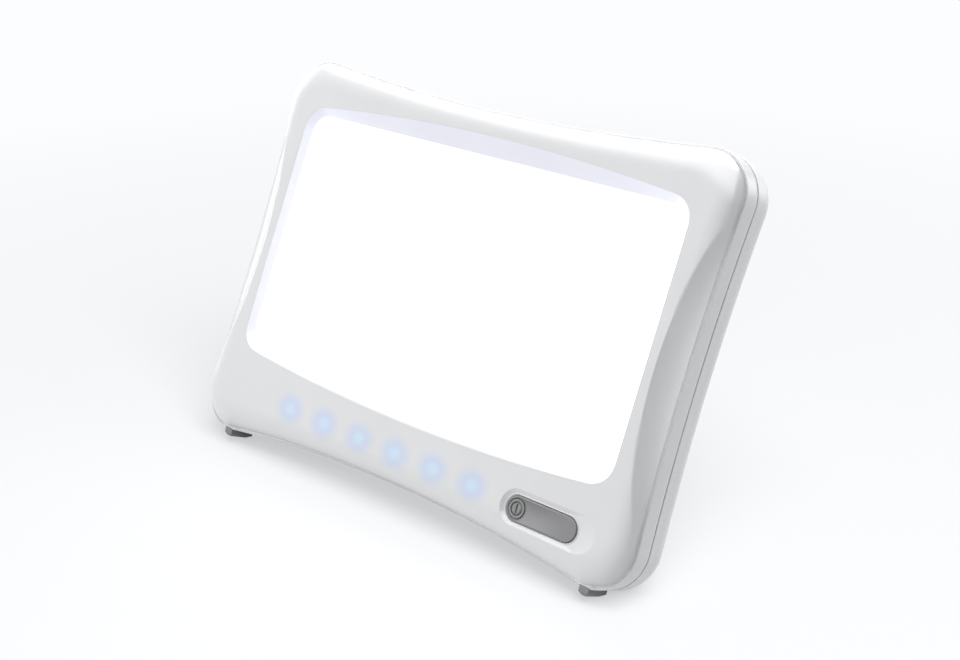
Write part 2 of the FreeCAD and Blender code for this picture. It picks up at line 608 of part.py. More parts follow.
def frontCover():
    """Pillow-shaped frame with a bevelled window, hollow behind, with posts for everything it carries."""
    band = prism(outline(0, mm.seam_front), mm.seam_depth - mm.ledge_depth)
    sections = []
    steps = 4
    for step in range(steps + 1):
        angle = math.radians(90) * step / steps
        fall = mm.pillow_width * (1 - math.cos(angle))
        level = -mm.ledge_depth * (1 - math.sin(angle))
        sections.append(outline(mm.ledge_width + fall, level, mm.pillow_settle * step / steps))
    pillow = Part.makeLoft(sections, True, False)
    solid = band.fuse(pillow)

    sides = prism(outline(mm.wall, mm.seam_front - mm.overcut), mm.seam_depth + mm.overcut - mm.shoulder)
    slopeEnds = [outline(mm.wall, -mm.shoulder), outline(mm.wall + mm.shoulder_slope, -mm.ceiling)]
    slope = Part.makeLoft(slopeEnds, True, True)
    bulge = (0, -mm.window_bulge, -mm.window_bulge)
    face = loop(
        mm.window_half_width, mm.window_half_height, -mm.window_half_height, mm.window_corner, bulge, 0
    )
    inner = loop(
        mm.opening_half_width,
        mm.opening_half_height,
        -mm.opening_half_height,
        mm.window_corner - mm.bevel_side,
        (0, 0, 0),
        -mm.bevel_depth,
    )
    bevel = Part.makeLoft([face, inner], True, True)
    above = prism(face, mm.overcut)
    solid = solid.cut([sides.fuse(slope), bevel, above, prism(inner, mm.bevel_depth - mm.shoulder)])
    solid = solid.cut([scallop(1), scallop(-1)])

    ceiling = -mm.ceiling + mm.root_sink
    posts = [column(x, y, mm.cover_post_radius, -mm.cover_joint, ceiling) for x, y in coverScrewPlaces]
    posts += [column(x, y, mm.post_radius, mm.led_board_back, ceiling) for x, y in spreaderScrewPlaces]
    posts += [column(x, y, mm.board_post_radius, mm.board_front, ceiling) for x, y in boardScrewPlaces]
    solid = solid.fuse(posts)

    pilot = mm.shank_radius + mm.pilot_gap
    coverPilot = mm.shank_length - (mm.tube_seat - mm.cover_joint) + mm.pilot_depth
    shortPilot = mm.short_shank - mm.spreader_thick + mm.pilot_depth
    cuts = [column(x, y, pilot, -mm.cover_joint, -mm.cover_joint + coverPilot) for x, y in coverScrewPlaces]
    cuts += [
        column(x, y, pilot, mm.led_board_back, mm.led_board_back + shortPilot) for x, y in spreaderScrewPlaces
    ]
    cuts += [column(x, y, pilot, mm.board_front, mm.board_front + shortPilot) for x, y in boardScrewPlaces]
    tubeRoom = mm.guide_radius + mm.guide_clearance
    cuts += [column(x, mm.indicator_y, tubeRoom, -mm.shoulder, -mm.skin) for x in indicatorPlaces]
    rim = slot(
        mm.button_left - mm.scoop_margin,
        mm.button_right + mm.scoop_run,
        mm.button_y,
        mm.button_radius + mm.scoop_margin,
        0,
    )
    floor = slot(
        mm.button_left - mm.scoop_floor,
        mm.button_right + mm.scoop_floor,
        mm.button_y,
        mm.button_radius + mm.scoop_floor,
        -mm.scoop_depth,
    )
    hole = slot(
        mm.button_left - mm.button_gap,
        mm.button_right + mm.button_gap,
        mm.button_y,
        mm.button_radius + mm.button_gap,
        -mm.shoulder,
    )
    cuts += [Part.makeLoft([rim, floor], True, True), prism(rim, mm.overcut), prism(hole, mm.shoulder)]
    cuts += [footRoom(side) for side in (-1, 1)]
    return solid.cut(cuts).removeSplitter()


shapeNode("front_cover", frontCover())


# ---- rear cover ----------------------------------------------------------------------------------------


def roundedPrism(inset, back, front, radius):
    """A prism on the casing's outline with its rear edge rounded."""
    solid = prism(outline(inset, back), front - back)
    rim = [edge for edge in solid.Edges if abs(edge.BoundBox.ZMax - back) < 1e-6]
    return solid.makeFillet(radius, rim)


def rearCover():
    """Tub with a rounded back, a lip that enters the front cover and a recess for the stand."""
    outer = roundedPrism(0, mm.rear_face, mm.seam_rear, mm.rear_round)
    inner = roundedPrism(mm.wall, mm.rear_floor, mm.seam_rear + mm.overcut, mm.rear_round - mm.wall)
    solid = outer.cut(inner)

    lipOuter = mm.wall + mm.lip_clearance
    lipInner = lipOuter + mm.lip_thick
    lipRoot = mm.seam_rear - mm.lip_rise
    lip = prism(outline(lipOuter, lipRoot), mm.lip_top - lipRoot)
    root = prism(outline(mm.wall - mm.root_sink, lipRoot), mm.seam_rear - mm.seam_gap - lipRoot)
    hollow = prism(outline(lipInner, lipRoot - mm.overcut), mm.lip_top - lipRoot + 2 * mm.overcut)
    halfWidth = mm.recess_half_width
    tub = box(
        -halfWidth - mm.recess_wall,
        halfWidth + mm.recess_wall,
        mm.case_bottom,
        mm.recess_top + mm.recess_wall,
        mm.rear_face,
        mm.recess_wall_front,
    )
    bosses = [
        box(
            min(side * halfWidth, side * (halfWidth + mm.boss_length)),
            max(side * halfWidth, side * (halfWidth + mm.boss_length)),
            mm.hinge_y - mm.boss_height / 2,
            mm.hinge_y + mm.boss_height / 2,
            mm.rear_floor - mm.root_sink,
            mm.recess_wall_front,
        )
        for side in (-1, 1)
    ]
    tubeRoot = mm.rear_floor - mm.root_sink
    tubes = [column(x, y, mm.tube_radius, tubeRoot, -mm.cover_joint) for x, y in coverScrewPlaces]
    fittings = [outer.common(piece) for piece in [tub] + bosses + tubes]
    solid = solid.fuse([lip.fuse(root).cut(hollow)] + fittings)

    below = mm.case_bottom - mm.overcut
    behind = mm.rear_face - mm.overcut
    recess = box(-halfWidth, halfWidth, below, mm.recess_top, behind, mm.recess_floor)
    ribHeight = mm.recess_floor - mm.hinge_z - mm.stand_thick / 2 - mm.stand_stop_gap
    ribMiddle = mm.hinge_y - mm.stand_length + mm.rest_rib_from_end
    ribs = [
        box(
            x - mm.rest_rib_width / 2,
            x + mm.rest_rib_width / 2,
            ribMiddle - mm.rest_rib_length / 2,
            ribMiddle + mm.rest_rib_length / 2,
            mm.recess_floor - ribHeight,
            mm.recess_floor,
        )
        for x in (-mm.rest_rib_spacing / 2, mm.rest_rib_spacing / 2)
    ]
    clear = mm.shank_radius + mm.shank_gap
    pinLength = mm.pin_length + mm.overcut
    cuts = [recess.cut(Part.makeCompound(ribs))]
    cuts.append(
        Part.makeCylinder(
            mm.pin_radius + mm.pin_press, pinLength, V(-pinLength / 2, mm.hinge_y, mm.hinge_z), V(1, 0, 0)
        )
    )
    for x, y in coverScrewPlaces:
        cuts.append(column(x, y, clear, mm.rear_face, -mm.cover_joint + mm.overcut))
        cuts.append(column(x, y, mm.head_radius + mm.head_gap, behind, -mm.tube_seat))
    inside = mm.rear_floor + mm.overcut
    cuts.append(column(mm.jack_x, mm.jack_y, mm.jack_collar + mm.jack_gap, behind, inside))
    ventBottom = mm.recess_top + mm.vent_gap
    ventStart = -(mm.vent_count - 1) * mm.vent_pitch / 2
    for number in range(int(mm.vent_count)):
        x = ventStart + number * mm.vent_pitch
        half = mm.vent_width / 2
        cuts.append(box(x - half, x + half, ventBottom, ventBottom + mm.vent_length, behind, inside))
    cuts += [footRoom(side) for side in (-1, 1)]
    return solid.cut(cuts).removeSplitter()


shapeNode("rear_cover", rearCover())


# ---- light source --------------------------------------------------------------------------------------

plate(
    "diffuser_panel",
    "0",
    "0",
    "Layout.diffuser_back",
    "2 * Layout.diffuser_half_width",
    "2 * Layout.diffuser_half_height",
    "Sizes.diffuser_thick",
    "Sizes.window_corner / 2",
)

gasket = plate(
    "diffuser_gasket",
    "0",
    "0",
    "Layout.gasket_back",
    "2 * Layout.diffuser_half_width",
    "2 * Layout.diffuser_half_height",
    "Sizes.gasket_thick",
    "Sizes.window_corner / 2",
)
gasketHole = newSketch(gasket, "hole", "0", "0", "Layout.diffuser_back")
addRectangle(
    gasketHole,
    "2 * (Layout.diffuser_half_width - Sizes.gasket_width)",
    "2 * (Layout.diffuser_half_height - Sizes.gasket_width)",
)
addFeature(gasket, "Pocket", gasketHole, "Sizes.gasket_thick + Sizes.overcut")


def reflectorTray():
    """White frame whose four walls lean inward from the diffuser to the board."""
    tray = newBody("reflector_tray")
    lofts = [("outer", "0", "AdditiveLoft"), ("inner", "Sizes.tray_wall", "SubtractiveLoft")]
    for name, inset, kind in lofts:
        mouth = newSketch(tray, name + "_mouth", "0", "0", "Layout.gasket_back")
        addRectangle(
            mouth,
            f"2 * (Layout.diffuser_half_width - {inset})",
            f"2 * (Layout.diffuser_half_height - {inset})",
        )
        foot = newSketch(tray, name + "_foot", "0", "0", "Layout.tray_back")
        addRectangle(
            foot,
            f"2 * (Layout.tray_half_width - {inset})",
            f"2 * (Layout.tray_half_height - {inset})",
        )
        loft = addFeature(tray, kind, mouth)
        loft.Sections = [foot]
        loft.Ruled = True
        foot.Visibility = False
        document.recompute()


reflectorTray()

plate(
    "led_board",
    "0",
    "(Layout.led_board_top + Layout.led_board_bottom) / 2",
    "Layout.led_board_back",
    "2 * Layout.led_board_half_width",
    "Layout.led_board_top - Layout.led_board_bottom",
    "Sizes.led_board_thick",
)


def lightLeds():
    """The grid of light-emitting diodes, evenly spread over the tray's floor."""
    columns = int(mm.led_columns)
    rows = int(mm.led_rows)
    stepX = 2 * (mm.tray_half_width - mm.tray_wall) / columns
    stepY = 2 * (mm.tray_half_height - mm.tray_wall) / rows
    half = mm.led_side / 2
    front = mm.tray_back + mm.led_rise
    diodes = []
    for across in range(columns):
        for up in range(rows):
            x = (across - (columns - 1) / 2) * stepX
            y = (up - (rows - 1) / 2) * stepY
            diodes.append(box(x - half, x + half, y - half, y + half, mm.tray_back, front))
    return Part.makeCompound(diodes)


shapeNode("light_leds", lightLeds())

spreader = plate(
    "heat_spreader",
    "0",
    "(Layout.led_board_top + Layout.led_board_bottom) / 2",
    "Layout.spreader_back",
    "2 * Layout.spreader_half_width",
    "Layout.led_board_top - Layout.led_board_bottom",
    "Sizes.spreader_thick",
    "Sizes.post_radius",
)
for side, name in ((-1, "lower"), (1, "upper")):
    holes = newSketch(spreader, name + "_holes", "0", f"{side} * Sizes.post_rise", "Layout.led_board_back")
    addCircle(holes, "Sizes.shank_radius + Sizes.shank_gap", "-Layout.post_x")
    addCircle(holes, "Sizes.shank_radius + Sizes.shank_gap", "Layout.post_x")
    addFeature(spreader, "Pocket", holes, "Sizes.spreader_thick + Sizes.overcut")


# ---- control board and what it carries -----------------------------------------------------------------

controlBoard = plate(
    "control_board",
    "(Layout.board_left + Layout.board_right) / 2",
    "(Layout.board_top + Layout.board_bottom) / 2",
    "Layout.board_back",
    "Layout.board_right - Layout.board_left",
    "Sizes.board_height",
    "Sizes.board_thick",
)
boardHoles = newSketch(controlBoard, "holes", "0", "Layout.board_post_y", "Layout.board_front")
for place in ("board_post_first", "board_post_middle", "board_post_last"):
    addCircle(boardHoles, "Sizes.shank_radius + Sizes.shank_gap", "Layout." + place)
addFeature(controlBoard, "Pocket", boardHoles, "Sizes.board_thick + Sizes.overcut")

lightGuide = plate(
    "indicator_light_guide",
    "Layout.indicator_middle",
    "Layout.indicator_y",
    "Layout.board_front",
    "Layout.indicator_run + 2 * Sizes.guide_end",
    "Sizes.guide_width",
    "Layout.guide_bar_front - Layout.board_front",
)
indicatorSpots = [
    f"Layout.indicator_first + {number} * Sizes.indicator_pitch"
    for number in range(int(mm.indicator_count))
]
guideTubes = newSketch(lightGuide, "tubes", "0", "Layout.indicator_y", "Layout.guide_bar_front")
guideBores = newSketch(lightGuide, "bores", "0", "Layout.indicator_y", "Layout.guide_front")
for spot in indicatorSpots:
    addCircle(guideTubes, "Sizes.guide_radius", spot)
    addCircle(guideBores, "Sizes.guide_bore", spot)
addFeature(lightGuide, "Pad", guideTubes, "Layout.guide_front - Layout.guide_bar_front")
addFeature(lightGuide, "Pocket", guideBores, "Layout.guide_front - Layout.board_front + Sizes.overcut")


def indicatorLeds():
    """Round-topped indicator lights in a row on the control board."""
    lights = []
    straight = mm.indicator_rise - mm.indicator_radius
    for x in indicatorPlaces:
        stalk = column(x, mm.indicator_y, mm.indicator_radius, mm.board_front, mm.board_front + straight)
        dome = Part.makeSphere(mm.indicator_radius, V(x, mm.indicator_y, mm.board_front + straight))
        lights.append(stalk.fuse(dome).removeSplitter())
    return Part.makeCompound(lights)


shapeNode("indicator_leds", indicatorLeds())

switchBody = plate(
    "switch_body",
    "Layout.button_x",
    "Layout.button_y",
    "Layout.board_front",
    "Sizes.switch_side",
    "Sizes.switch_side",
    "Sizes.switch_height",
)
switchBore = newSketch(switchBody, "bore", "Layout.button_x", "Layout.button_y", "Layout.switch_front")
addCircle(switchBore, "Sizes.plunger_radius + Sizes.plunger_gap")
addFeature(switchBody, "Pocket", switchBore, "Layout.plunger_room")

rod(
    "switch_plunger",
    "Layout.button_x",
    "Layout.button_y",
    "Layout.plunger_front - Layout.plunger_length",
    "Sizes.plunger_radius",
    "Layout.plunger_length",
)


def powerButton():
    """Pill-shaped cap with a flange behind the cover, a stem and a raised ring with a bar."""
    body = newBody("power_button")
    place = ("Layout.button_x", "Layout.button_y")
    cap = newSketch(body, "cap", *place, "Layout.flange_front")
    addSlot(cap, "Layout.button_centres", "Layout.button_radius")
    capPad = addFeature(body, "Pad", cap, "Sizes.button_proud - Layout.flange_front")
    document.recompute()
    rim = [
        f"Edge{number}"
        for number, edge in enumerate(capPad.Shape.Edges, 1)
        if edge.BoundBox.ZMin > mm.button_proud - 1e-6
    ]
    edge = body.newObject("PartDesign::Fillet", "power_button_rim")
    edge.Base = (capPad, rim)
    edge.setExpression("Radius", "Sizes.button_edge")
    flange = newSketch(body, "flange", *place, "Layout.flange_back")
    addSlot(flange, "Layout.button_centres", "Layout.button_radius + Sizes.button_flange")
    addFeature(body, "Pad", flange, "Sizes.button_flange")
    stem = newSketch(body, "stem", *place, "Layout.plunger_front")
    addCircle(stem, "Sizes.stem_radius")
    addFeature(body, "Pad", stem, "Layout.flange_back - Layout.plunger_front")
    symbolPlace = ("Layout.button_left + Sizes.symbol_inset", "Layout.button_y", "Sizes.button_proud")
    ring = newSketch(body, "ring", *symbolPlace)
    addCircle(ring, "Sizes.symbol_radius")
    addCircle(ring, "Sizes.symbol_radius - Sizes.symbol_line")
    addFeature(body, "Pad", ring, "Sizes.symbol_rise")
    bar = newSketch(body, "bar", *symbolPlace)
    addRectangle(bar, "Sizes.symbol_line", "Sizes.symbol_bar")
    addFeature(body, "Pad", bar, "Sizes.symbol_rise")


powerButton()

# Parts of the driver on the back of the control board, clear of the stand's recess.
rod(
    "driver_capacitor",
    "Layout.button_x - Sizes.capacitor_offset",
    "Layout.button_y",
    "Layout.board_back - Sizes.capacitor_length",
    "Sizes.capacitor_radius",
    "Sizes.capacitor_length",
)
plate(
    "driver_coil",
    "Layout.button_x + Sizes.coil_offset",
    "Layout.button_y",
    "Layout.board_back - Sizes.coil_height",
    "Sizes.coil_side",
    "Sizes.coil_side",
    "Sizes.coil_height",
    "Sizes.coil_corner",
)
plate(
    "control_chip",
    "Layout.indicator_middle - Sizes.chip_offset",
    "Layout.button_y",
    "Layout.board_back - Sizes.chip_thick",
    "Sizes.chip_side",
    "Sizes.chip_side",
    "Sizes.chip_thick",
)

plate(
    "board_header",
    "Sizes.connector_x",
    "Layout.header_y",
    "Layout.board_back - Sizes.connector_rise",
    "Sizes.connector_width",
    "Sizes.connector_height",
    "Sizes.connector_rise",
)
plate(
    "led_connector",
    "Sizes.connector_x",
    "Layout.connector_y",
    "Layout.tray_back",
    "Sizes.connector_width",
    "Sizes.connector_height",
    "Sizes.connector_rise",
)
for side, name in ((-1, "light_lead_return"), (1, "light_lead_supply")):
    lead = newBody(name)
    section = newSketch(
        lead,
        "section",
        f"Sizes.connector_x + {side} * Sizes.lead_spacing / 2",
        "Layout.lead_level",
        "-Layout.lead_top",
        "XZ_Plane",
    )
    addCircle(section, "Sizes.lead_radius")
    addFeature(lead, "Pad", section, "Layout.lead_length")


# ---- power inlet ---------------------------------------------------------------------------------------

jack = plate(
    "dc_jack",
    "Layout.jack_x",
    "Layout.jack_y",
    "Layout.jack_body_end",
    "Sizes.jack_width",
    "Sizes.jack_height",
    "Layout.board_back - Layout.jack_body_end",
)
collar = newSketch(jack, "collar", "Layout.jack_x", "Layout.jack_y", "Layout.jack_end")
addCircle(collar, "Sizes.jack_collar")
addFeature(jack, "Pad", collar, "Layout.jack_body_end - Layout.jack_end")
bore = newSketch(jack, "bore", "Layout.jack_x", "Layout.jack_y", "Layout.jack_end")
addCircle(bore, "Sizes.jack_bore")
addFeature(jack, "Pocket", bore, "Sizes.jack_bore_depth", True)
rod(
    "dc_jack_pin",
    "Layout.jack_x",
    "Layout.jack_y",
    "Layout.jack_end + Sizes.jack_pin_sunk",
    "Sizes.jack_pin",
    "Sizes.jack_bore_depth - Sizes.jack_pin_sunk",
)


# ---- feet ----------------------------------------------------------------------------------------------


def belowTable(turn, level):
    """The space under the table, in axes that lean by turn about x, with the table top at that level."""
    reach = mm.case_width
    block = Part.makeBox(2 * reach, reach, 2 * reach, V(-reach, -reach, -reach))
    block.rotate(V(0, 0, 0), V(1, 0, 0), turn)
    angle = math.radians(turn)
    block.translate(V(0, math.cos(angle), math.sin(angle)) * level)
    return block


def foot(side):
    """Rubber foot held by its head between the two covers, with a land parallel to the table."""
    x = side * mm.foot_x
    half = mm.foot_width / 2
    front = -mm.foot_setback
    pad = box(x - half, x + half, mm.foot_bottom, mm.foot_seat_y, mm.foot_back, front)
    lower = [
        edge for edge in pad.Edges
        if abs(edge.BoundBox.YMax - mm.foot_bottom) < 1e-6 and edge.BoundBox.ZMax > mm.foot_back + 1e-6
    ]
    pad = pad.makeChamfer(mm.foot_taper, lower)
    neck = box(
        x - mm.foot_neck_width / 2,
        x + mm.foot_neck_width / 2,
        mm.foot_seat_y,
        mm.foot_inside,
        mm.foot_middle - mm.foot_neck_length / 2,
        mm.foot_middle + mm.foot_neck_length / 2,
    )
    head = box(
        x - mm.foot_root_width / 2,
        x + mm.foot_root_width / 2,
        mm.foot_inside,
        mm.foot_inside + mm.foot_root_thick,
        mm.foot_middle - mm.foot_root_length / 2,
        mm.foot_middle + mm.foot_root_length / 2,
    )
    return pad.fuse([neck, head]).cut(belowTable(mm.lean, mm.floor_level)).removeSplitter()


shapeNode("foot_left", foot(-1))
shapeNode("foot_right", foot(1))


# ---- stand: drawn folded, with its hinge axis on x and its free end towards -y -----------------------------


def rearStand():
    body = newBody("rear_stand")
    middle = "Sizes.stand_heel - Layout.stand_plate / 2"
    blade = newSketch(body, "blade", "0", middle, "-Sizes.stand_thick / 2")
    addRectangle(blade, "Sizes.stand_width", "Layout.stand_plate")
    pad = addFeature(body, "Pad", blade, "Sizes.stand_thick")
    document.recompute()
    freeEnd = mm.stand_heel - mm.stand_plate
    corners = [
        f"Edge{number}"
        for number, edge in enumerate(pad.Shape.Edges, 1)
        if edge.BoundBox.YMax < freeEnd + 1e-6 and edge.BoundBox.ZLength > 1
    ]
    rounding = body.newObject("PartDesign::Fillet", "rear_stand_corners")
    rounding.Base = (pad, corners)
    rounding.setExpression("Radius", "Sizes.stand_corner")
    gripPlace = "Sizes.pad_reach + Sizes.stand_grip_rise - Layout.stand_length"
    grip = newSketch(body, "grip", "0", gripPlace, "Sizes.stand_thick / 2")
    addSlot(grip, "Sizes.stand_grip_length - Sizes.stand_grip_width", "Sizes.stand_grip_width / 2")
    addFeature(body, "Pocket", grip, "Sizes.stand_thick + Sizes.overcut")
    bore = newSketch(body, "bore", "0", "0", "Sizes.stand_width / 2", "YZ_Plane")
    addCircle(bore, "Sizes.pin_radius + Sizes.pin_run")
    addFeature(body, "Pocket", bore, "Sizes.stand_width + Sizes.overcut")


def standPad():
    """Rubber strip under the free end, cut parallel to the table when the stand is open."""
    half = mm.stand_thick / 2
    top = mm.pad_reach - mm.stand_length
    strip = box(-mm.pad_width / 2, mm.pad_width / 2, top - 2 * mm.pad_reach, top, -half, half)
    return strip.cut(belowTable(-mm.stand_splay, -mm.hinge_height)).removeSplitter()


rearStand()
shapeNode("stand_pad", standPad())

hingePin = newBody("hinge_pin")
pinSection = newSketch(
    hingePin, "section", "Layout.hinge_y", "Layout.hinge_z", "-Layout.pin_length / 2", "YZ_Plane"
)
addCircle(pinSection, "Sizes.pin_radius")
addFeature(hingePin, "Pad", pinSection, "Layout.pin_length")


def hingeWashers():
    """A friction washer between each side of the stand and the side of its recess."""
    washers = []
    place = mm.stand_width / 2 + (mm.stand_side_gap - mm.washer_thick) / 2
    for start in (place, -place - mm.washer_thick):
        at = V(start, mm.hinge_y, mm.hinge_z)
        ring = Part.makeCylinder(mm.washer_radius, mm.washer_thick, at, V(1, 0, 0))
        hole = Part.makeCylinder(mm.pin_radius + mm.pin_run, mm.washer_thick, at, V(1, 0, 0))
        washers.append(ring.cut(hole))
    return Part.makeCompound(washers)


shapeNode("hinge_washers", hingeWashers())


# ---- screws --------------------------------------------------------------------------------------------


def screws(places, seat, headRadius, headThick, shank):
    """Screws driven from the back: their heads lie behind the level seat, their shanks point at the face."""
    solids = []
    back = seat - headThick
    across = mm.screw_slot_width / 2
    along = mm.screw_slot_length / 2
    for x, y in places:
        head = column(x, y, headRadius, back, seat)
        shaft = column(x, y, mm.shank_radius, seat, seat + shank)
        groove = box(x - across, x + across, y - along, y + along, back, back + mm.screw_slot_depth)
        solids.append(head.fuse(shaft).cut(groove).removeSplitter())
    return Part.makeCompound(solids)


shapeNode(
    "cover_screws", screws(coverScrewPlaces, -mm.tube_seat, mm.head_radius, mm.head_thick, mm.shank_length)
)
shapeNode(
    "spreader_screws",
    screws(spreaderScrewPlaces, mm.spreader_back, mm.short_head_radius, mm.short_head, mm.short_shank),
)
shapeNode(
    "board_screws",
    screws(boardScrewPlaces, mm.board_back, mm.short_head_radius, mm.short_head, mm.short_shank),
)


# ---- stand the lamp up, check it and write it ----------------------------------------------------------

standNodes = ["rear_stand", "stand_pad"]
nodeKinds = ("PartDesign::Body", "Part::Feature")
nodes = [thing for thing in document.Objects if thing.TypeId in nodeKinds]


def placeNodes(shift):
    """Lean the head back, open the stand about its hinge and move everything by shift."""
    lean = FreeCAD.Rotation(V(1, 0, 0), 90 - mm.lean)
    head = FreeCAD.Placement(shift, lean)
    opened = FreeCAD.Placement(V(0, mm.hinge_y, mm.hinge_z), FreeCAD.Rotation(V(1, 0, 0), mm.stand_open))
    for node in nodes:
        node.Placement = head.multiply(opened) if node.Label in standNodes else head
    document.recompute()


placeNodes(V(0, 0, 0))
whole = FreeCAD.BoundBox()
for node in nodes:
    whole.add(node.Shape.optimalBoundingBox(False, False))
placeNodes(V(-(whole.XMin + whole.XMax) / 2, -(whole.YMin + whole.YMax) / 2, -whole.ZMin))

for thing in document.Objects:
    if "Invalid" in thing.State or "Error" in thing.State:
        raise RuntimeError(f"{thing.Label} failed: {thing.State}")
    if thing.TypeId == "PartDesign::Pocket" and thing.Shape.Volume >= thing.BaseFeature.Shape.Volume - 0.01:
        raise RuntimeError(f"{thing.Label} cuts nothing")
for node in nodes:
    if node.Shape.isNull() or not node.Shape.isValid():
        raise RuntimeError(f"{node.Label} has no valid shape")

os.makedirs("parts", exist_ok=True)
for node in nodes:
    node.Shape.exportStep(f"parts/{node.Label}.step")
    print(f"{node.Label}: {len(node.Shape.Solids)} solid(s), {node.Shape.Volume / 1000:.2f} cm3")
print(f"size {whole.XLength:.1f} x {whole.YLength:.1f} x {whole.ZLength:.1f} mm")
print(f"hinge height {mm.hinge_height:.2f}, stand {mm.stand_length:.2f}, opening angle {mm.stand_open:.2f}")
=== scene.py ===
import bmesh
import bpy
import math
import numpy as np
from mathutils import Matrix, Quaternion, Vector


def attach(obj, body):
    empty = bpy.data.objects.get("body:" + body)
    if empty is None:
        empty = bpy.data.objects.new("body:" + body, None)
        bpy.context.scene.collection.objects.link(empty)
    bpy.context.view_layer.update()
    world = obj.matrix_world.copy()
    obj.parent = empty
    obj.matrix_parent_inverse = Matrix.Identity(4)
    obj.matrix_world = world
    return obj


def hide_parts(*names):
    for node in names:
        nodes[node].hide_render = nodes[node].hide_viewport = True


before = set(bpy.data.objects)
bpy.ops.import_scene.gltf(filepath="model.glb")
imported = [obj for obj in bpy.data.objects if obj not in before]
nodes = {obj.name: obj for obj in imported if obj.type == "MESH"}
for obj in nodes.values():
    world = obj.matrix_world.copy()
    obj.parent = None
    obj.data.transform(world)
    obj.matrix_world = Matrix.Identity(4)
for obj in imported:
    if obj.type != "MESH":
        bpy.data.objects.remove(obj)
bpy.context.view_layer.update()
print("frame loaded with", len(nodes), "nodes")

# The head leans back. Its own axes: x to the right, y up the face, z out of the face, in millimetres
# from the middle of the window.
head = {
    "centre": (0.0, -0.01027946, 0.09271471),  # metres
    "lean": 25.6,
}
mm = 0.001
tiny = 1e-6
lean = math.radians(head["lean"])
headCentre = np.array(head["centre"])
headAxes = np.array([
    (1.0, 0.0, 0.0),
    (0.0, math.sin(lean), math.cos(lean)),
    (0.0, -math.cos(lean), math.sin(lean)),
])


def toTable(points):
    # from the head's millimetres to metres on the table
    return headCentre + np.asarray(points, float) @ headAxes * mm


# Meshes
easing = {
    "merge": 2e-6,  # points nearer than this become one, metres
    "flat": 0.6,  # faces that meet under this angle become one
    "sharp": 35.0,  # edges over this angle are rounded
    "cutterSteps": 3,
}


def newPiece(name, points, faces, materials, smooth=True):
    mesh = bpy.data.meshes.new(name)
    mesh.from_pydata([tuple(p) for p in points], [], [tuple(f) for f in faces])
    mesh.validate()
    for material in materials:
        mesh.materials.append(material)
    mesh.polygons.foreach_set("use_smooth", [smooth] * len(mesh.polygons))
    mesh.update()
    piece = bpy.data.objects.new(name, mesh)
    bpy.context.scene.collection.objects.link(piece)
    return piece


def ringFaces(rings, count, closed=False):
    # quads between neighbouring rings that all have the same number of points
    faces = []
    last = rings if closed else rings - 1
    for ring in range(last):
        here = ring * count
        there = (ring + 1) % rings * count
        for step in range(count):
            after = (step + 1) % count
            faces.append((here + step, here + after, there + after, there + step))
    return faces


def closedLoft(name, rings, materials):
    # a solid through rings of points, with its first and last ring filled
    count = len(rings[0])
    faces = ringFaces(len(rings), count)
    faces.append(tuple(reversed(range(count))))
    faces.append(tuple(range(count * (len(rings) - 1), count * len(rings))))
    return newPiece(name, toTable(np.vstack(rings)), faces, materials)


def turnedRing(name, profile, centre, steps, materials):
    # a ring turned from a closed profile of (radius, level)
    points = []
    for radius, level in profile:
        for angle in np.linspace(0, 2 * math.pi, steps, endpoint=False):
            points.append((centre[0] + radius * math.cos(angle), centre[1] + radius * math.sin(angle), level))
    return newPiece(name, toTable(points), ringFaces(len(profile), steps, closed=True), materials)


def easeEdges(piece, width, segments):
    edge = piece.modifiers.new("edges", "BEVEL")
    edge.width = width * mm
    edge.segments = segments
    edge.limit_method = "ANGLE"
    edge.angle_limit = math.radians(easing["sharp"])
    piece.modifiers.new("normals", "WEIGHTED_NORMAL")


def boxCutter(name, low, high, ease):
    corners = [(x, y, z) for x in (low[0], high[0]) for y in (low[1], high[1]) for z in (low[2], high[2])]
    faces = [(0, 1, 3, 2), (4, 6, 7, 5), (0, 4, 5, 1), (2, 3, 7, 6), (0, 2, 6, 4), (1, 5, 7, 3)]
    cutter = newPiece(name, toTable(corners), faces, [])
    easeEdges(cutter, ease, easing["cutterSteps"])
    return cutter


def carve(piece, cutter):
    # takes the cutter's volume out of the piece and throws the cutter away
    cut = piece.modifiers.new("cut", "BOOLEAN")
    cut.operation = "DIFFERENCE"
    cut.solver = "EXACT"
    cut.object = cutter
    graph = bpy.context.evaluated_depsgraph_get()
    mesh = bpy.data.meshes.new_from_object(piece.evaluated_get(graph))
    piece.modifiers.clear()
    piece.data = mesh
    bpy.data.objects.remove(cutter)


def softened(node, name, width, segments, material):
    # a copy of a CAD shape with its flat faces joined and its edges eased
    mesh = nodes[node].data.copy()
    normals = mesh.attributes.get("custom_normal")
    if normals:
        mesh.attributes.remove(normals)
    mesh.materials.clear()
    mesh.materials.append(material)
    body = bmesh.new()
    body.from_mesh(mesh)
    bmesh.ops.remove_doubles(body, verts=body.verts, dist=easing["merge"])
    flat = math.radians(easing["flat"])
    bmesh.ops.dissolve_limit(body, angle_limit=flat, verts=body.verts, edges=body.edges)
    for face in body.faces:
        face.smooth = True
        face.material_index = 0
    body.to_mesh(mesh)
    body.free()
    mesh.name = name
    piece = bpy.data.objects.new(name, mesh)
    bpy.context.scene.collection.objects.link(piece)
    easeEdges(piece, width, segments)
    return piece


def settleOn(piece, body, slot, *replaced):
    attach(piece, body)
    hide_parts(*replaced)


# Materials
surface = {
    "driftScale": 28.0,
    "detail": 2.0,
    "grainRough": 0.6,
    "grainHeight": 0.0002,
}


def nodeTree(name):
    material = bpy.data.materials.new(name)
    material.use_nodes = True
    return material, material.node_tree, material.node_tree.nodes["Principled BSDF"]


